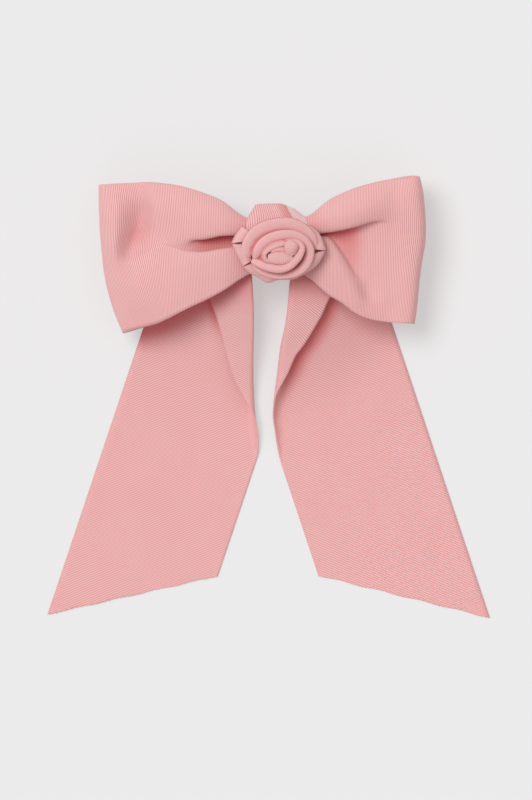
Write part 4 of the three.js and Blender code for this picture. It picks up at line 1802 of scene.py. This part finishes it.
@dataclass
class Clip:
    """The steel clip, its felt and the threads that hold the bow to it."""

    nickel_nodes: Sequence[str] = ("base_plate", "hinge_pin", "clasp_arm", "catch_rivet")
    spring_nodes: Sequence[str] = (
        "tension_spring", "catch_bracket", "catch_prong_front", "catch_prong_rear",
    )
    felt_nodes: Sequence[str] = ("lining_felt", "rosette_backing")
    stitch_nodes: Sequence[str] = ("stitch_left", "stitch_right", "gather_thread")
    thread_radius: float = 0.17
    turn_spacing: float = 2.2
    least_turns: float = 2.0

    def build(self, shop: Workshop, nodes: dict[str, bpy.types.Object]) -> list[bpy.types.Object]:
        """Dress the clip's metal and make its threads.

        Args:
            shop: The materials.
            nodes: The frame's nodes by name.

        Returns:
            The new pieces.
        """
        for names, material in (
            (self.nickel_nodes, shop.nickel),
            (self.spring_nodes, shop.spring),
            (self.felt_nodes, shop.felt),
        ):
            for name in names:
                nodes[name].data.materials.clear()
                nodes[name].data.materials.append(material)
        return [self.wrap(shop, node) for node in self.stitch_nodes]

    def wrap(self, shop: Workshop, node: str) -> bpy.types.Object:
        """Wind a thread where the frame has a stitch.

        Args:
            shop: The materials.
            node: The frame's node that the thread stands for.

        Returns:
            The finished piece.
        """
        low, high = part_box(node)
        middle = (low + high) / 2
        size = high - low
        pitch = self.turn_spacing * self.thread_radius * MM
        along_y = node == "gather_thread"
        span = size.x if along_y else size.y
        turns = max(self.least_turns, round(span / pitch))
        mesh = bpy.data.meshes.new(f"{node}_thread")
        mesh.from_pydata([(0, 0, 0)], [], [])
        obj = bpy.data.objects.new(mesh.name, mesh)
        bpy.context.scene.collection.objects.link(obj)
        half = (size.y if along_y else size.x) / 2 - self.thread_radius * MM
        place = Vector((middle.x - turns * pitch / 2, middle.y, middle.z))
        values = {
            "Turns": float(turns),
            "Radius": self.thread_radius * MM,
            "Pitch": pitch,
            "Half Sizes": (half, size.z / 2 - self.thread_radius * MM, 1.0),
            "Place": place,
            "Material": shop.thread,
        }
        apply_tree(obj, shop.tools.wraps, values)
        if not along_y:
            self.turn_quarter(obj, middle)
        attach(obj, "clip")
        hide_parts(node)
        return obj

    @staticmethod
    def turn_quarter(obj: bpy.types.Object, middle: Vector) -> None:
        """Turn a coil's mesh by a quarter about its middle, so that it runs across the clip.

        Args:
            obj: The coil.
            middle: Its middle.
        """
        for vertex in obj.data.vertices:
            away = vertex.co - middle
            vertex.co = middle + Vector((away.y, away.x, away.z))
        obj.data.flip_normals()


# ---------------------------------------------------------------------------------------------------
# The studio
# ---------------------------------------------------------------------------------------------------


@dataclass
class Studio:
    """A pale floor, soft light from the upper left and a camera straight above."""

    view_height: float = 322.4
    centre: tuple[float, float] = (-2.2, -1.4)
    lens: float = 800.0
    sensor: float = 36.0
    floor_half: float = 3000.0
    floor_colour: Colour = (0.40, 0.403, 0.403)
    floor_roughness: float = 0.95
    floor_specular: float = 0.1
    floor_glow: float = 0.40
    glow_colour: Colour = (1.0, 1.0, 1.0)
    key_from: tuple[float, float, float] = (-0.55, 0.45, 1.35)
    key_spread: float = math.radians(30)
    key_strength: float = 1.85
    ambient: float = 0.58
    ambient_colour: Colour = (1.0, 0.945, 0.95)

    def camera(self) -> bpy.types.Object:
        """Hang the camera over the barrette.

        Returns:
            The camera.
        """
        data = bpy.data.cameras.new("camera")
        data.lens = self.lens
        data.sensor_width = self.sensor
        distance = self.view_height / self.sensor * self.lens
        camera = bpy.data.objects.new("camera", data)
        camera.location = (self.centre[0] * MM, self.centre[1] * MM, distance * MM)
        bpy.context.scene.collection.objects.link(camera)
        bpy.context.scene.camera = camera
        return camera

    def floor(self) -> bpy.types.Object:
        """Lay the floor.

        Returns:
            The floor.
        """
        half = self.floor_half * MM
        corners = [(-half, -half, 0), (half, -half, 0), (half, half, 0), (-half, half, 0)]
        mesh = bpy.data.meshes.new("floor")
        mesh.from_pydata(corners, [], [range(len(corners))])
        floor = bpy.data.objects.new("floor", mesh)
        bpy.context.scene.collection.objects.link(floor)
        material, build, shader = new_material("floor_paper")
        build.fill(
            shader,
            {
                "Base Color": (*self.floor_colour, 1.0),
                "Roughness": self.floor_roughness,
                "Specular IOR Level": self.floor_specular,
                "Emission Color": (*self.glow_colour, 1.0),
                "Emission Strength": self.floor_glow,
            },
        )
        mesh.materials.append(material)
        return floor

    def lights(self) -> None:
        """Hang the key light and set the soft light all round."""
        data = bpy.data.lights.new("key", "SUN")
        data.angle = self.key_spread
        data.energy = self.key_strength
        key = bpy.data.objects.new("key", data)
        key.location = self.key_from
        key.rotation_euler = Vector(self.key_from).to_track_quat("Z", "Y").to_euler()
        bpy.context.scene.collection.objects.link(key)
        world = bpy.data.worlds.new("soft_light")
        world.use_nodes = True
        background = world.node_tree.nodes["Background"]
        background.inputs["Color"].default_value = (*self.ambient_colour, 1.0)
        background.inputs["Strength"].default_value = self.ambient
        bpy.context.scene.world = world

    def build(self) -> None:
        """Set up the studio and plain colour handling."""
        self.camera()
        self.floor()
        self.lights()
        bpy.context.scene.view_settings.view_transform = "Standard"
        bpy.context.scene.view_settings.look = "None"


def make_workshop() -> Workshop:
    """Make the materials and the node trees, and find the knot.

    Returns:
        The workshop that every sub-assembly is made with.
    """
    groups = SurfaceGroups()
    felt = SoftFinish(name="pink_felt", colour=(0.72, 0.33, 0.33), shade=(0.62, 0.26, 0.26))
    thread = SoftFinish(
        name="pink_thread",
        colour=(0.86, 0.46, 0.44),
        shade=(0.8, 0.4, 0.39),
        bump=0.2,
        roughness=0.7,
    )
    nickel = SteelFinish(name="nickel_steel", colour=(0.78, 0.76, 0.73), worn=(0.66, 0.64, 0.6))
    spring = SteelFinish(
        name="spring_steel",
        colour=(0.58, 0.58, 0.6),
        worn=(0.46, 0.46, 0.48),
        roughness=0.34,
    )
    # Painted shade: a darker copy of the ribbon's colour for the rosette, with its own colour for the
    # painted shade in its creases.
    rosette = RibbonFinish(
        name="rosette_ribbon",
        colour=(0.78, 0.475, 0.465),
        shade=(0.75, 0.44, 0.43),
        groove_shade_share=0.38,
        deep=(0.58, 0.115, 0.12),
    )
    # Painted light: a lighter copy of the ribbon's colour for the knot's inner turn.
    lit_knot_ribbon = RibbonFinish(
        name="lit_knot_ribbon",
        colour=(0.9, 0.64, 0.64),
        shade=(0.87, 0.6, 0.6),
        groove_shade_share=0.7,
    )
    low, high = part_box("knot_band")
    middle = (low + high) / (2 * MM)
    return Workshop(
        stock=RibbonStock(),
        tools=GeometryTools(),
        ribbon=RibbonFinish().material(groups),
        rosette=rosette.material(groups),
        lit_knot_ribbon=lit_knot_ribbon.material(groups),
        felt=felt.material(groups),
        thread=thread.material(groups),
        nickel=nickel.material(groups),
        spring=spring.material(groups),
        knot=np.array([middle.x, middle.y, 0.0]),
    )


def main() -> None:
    """Build the barrette around its frame and report each piece."""
    logging.basicConfig(level=logging.INFO, format="%(name)s: %(message)s")
    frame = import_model()
    Studio().build()
    shop = make_workshop()
    left_loop = Loop("loop_left_ribbon", "loop_left", LEFT_LOOP, hollow_from=2.0, hollow_full=8.0)
    right_loop = Loop("loop_right_ribbon", "loop_right", RIGHT_LOOP, hollow_full=6.0)
    pieces = [part.build(shop) for part in (left_loop, right_loop, *bow_tails())]
    pieces.extend(KnotBand().build(shop))
    pieces.extend(Rosette().build(shop))
    pieces.extend(Clip().build(shop, frame["nodes"]))
    for piece in pieces:
        LOG.info("%s has %d faces", piece.name, len(piece.data.polygons))


if __name__ == "__main__":
    main()
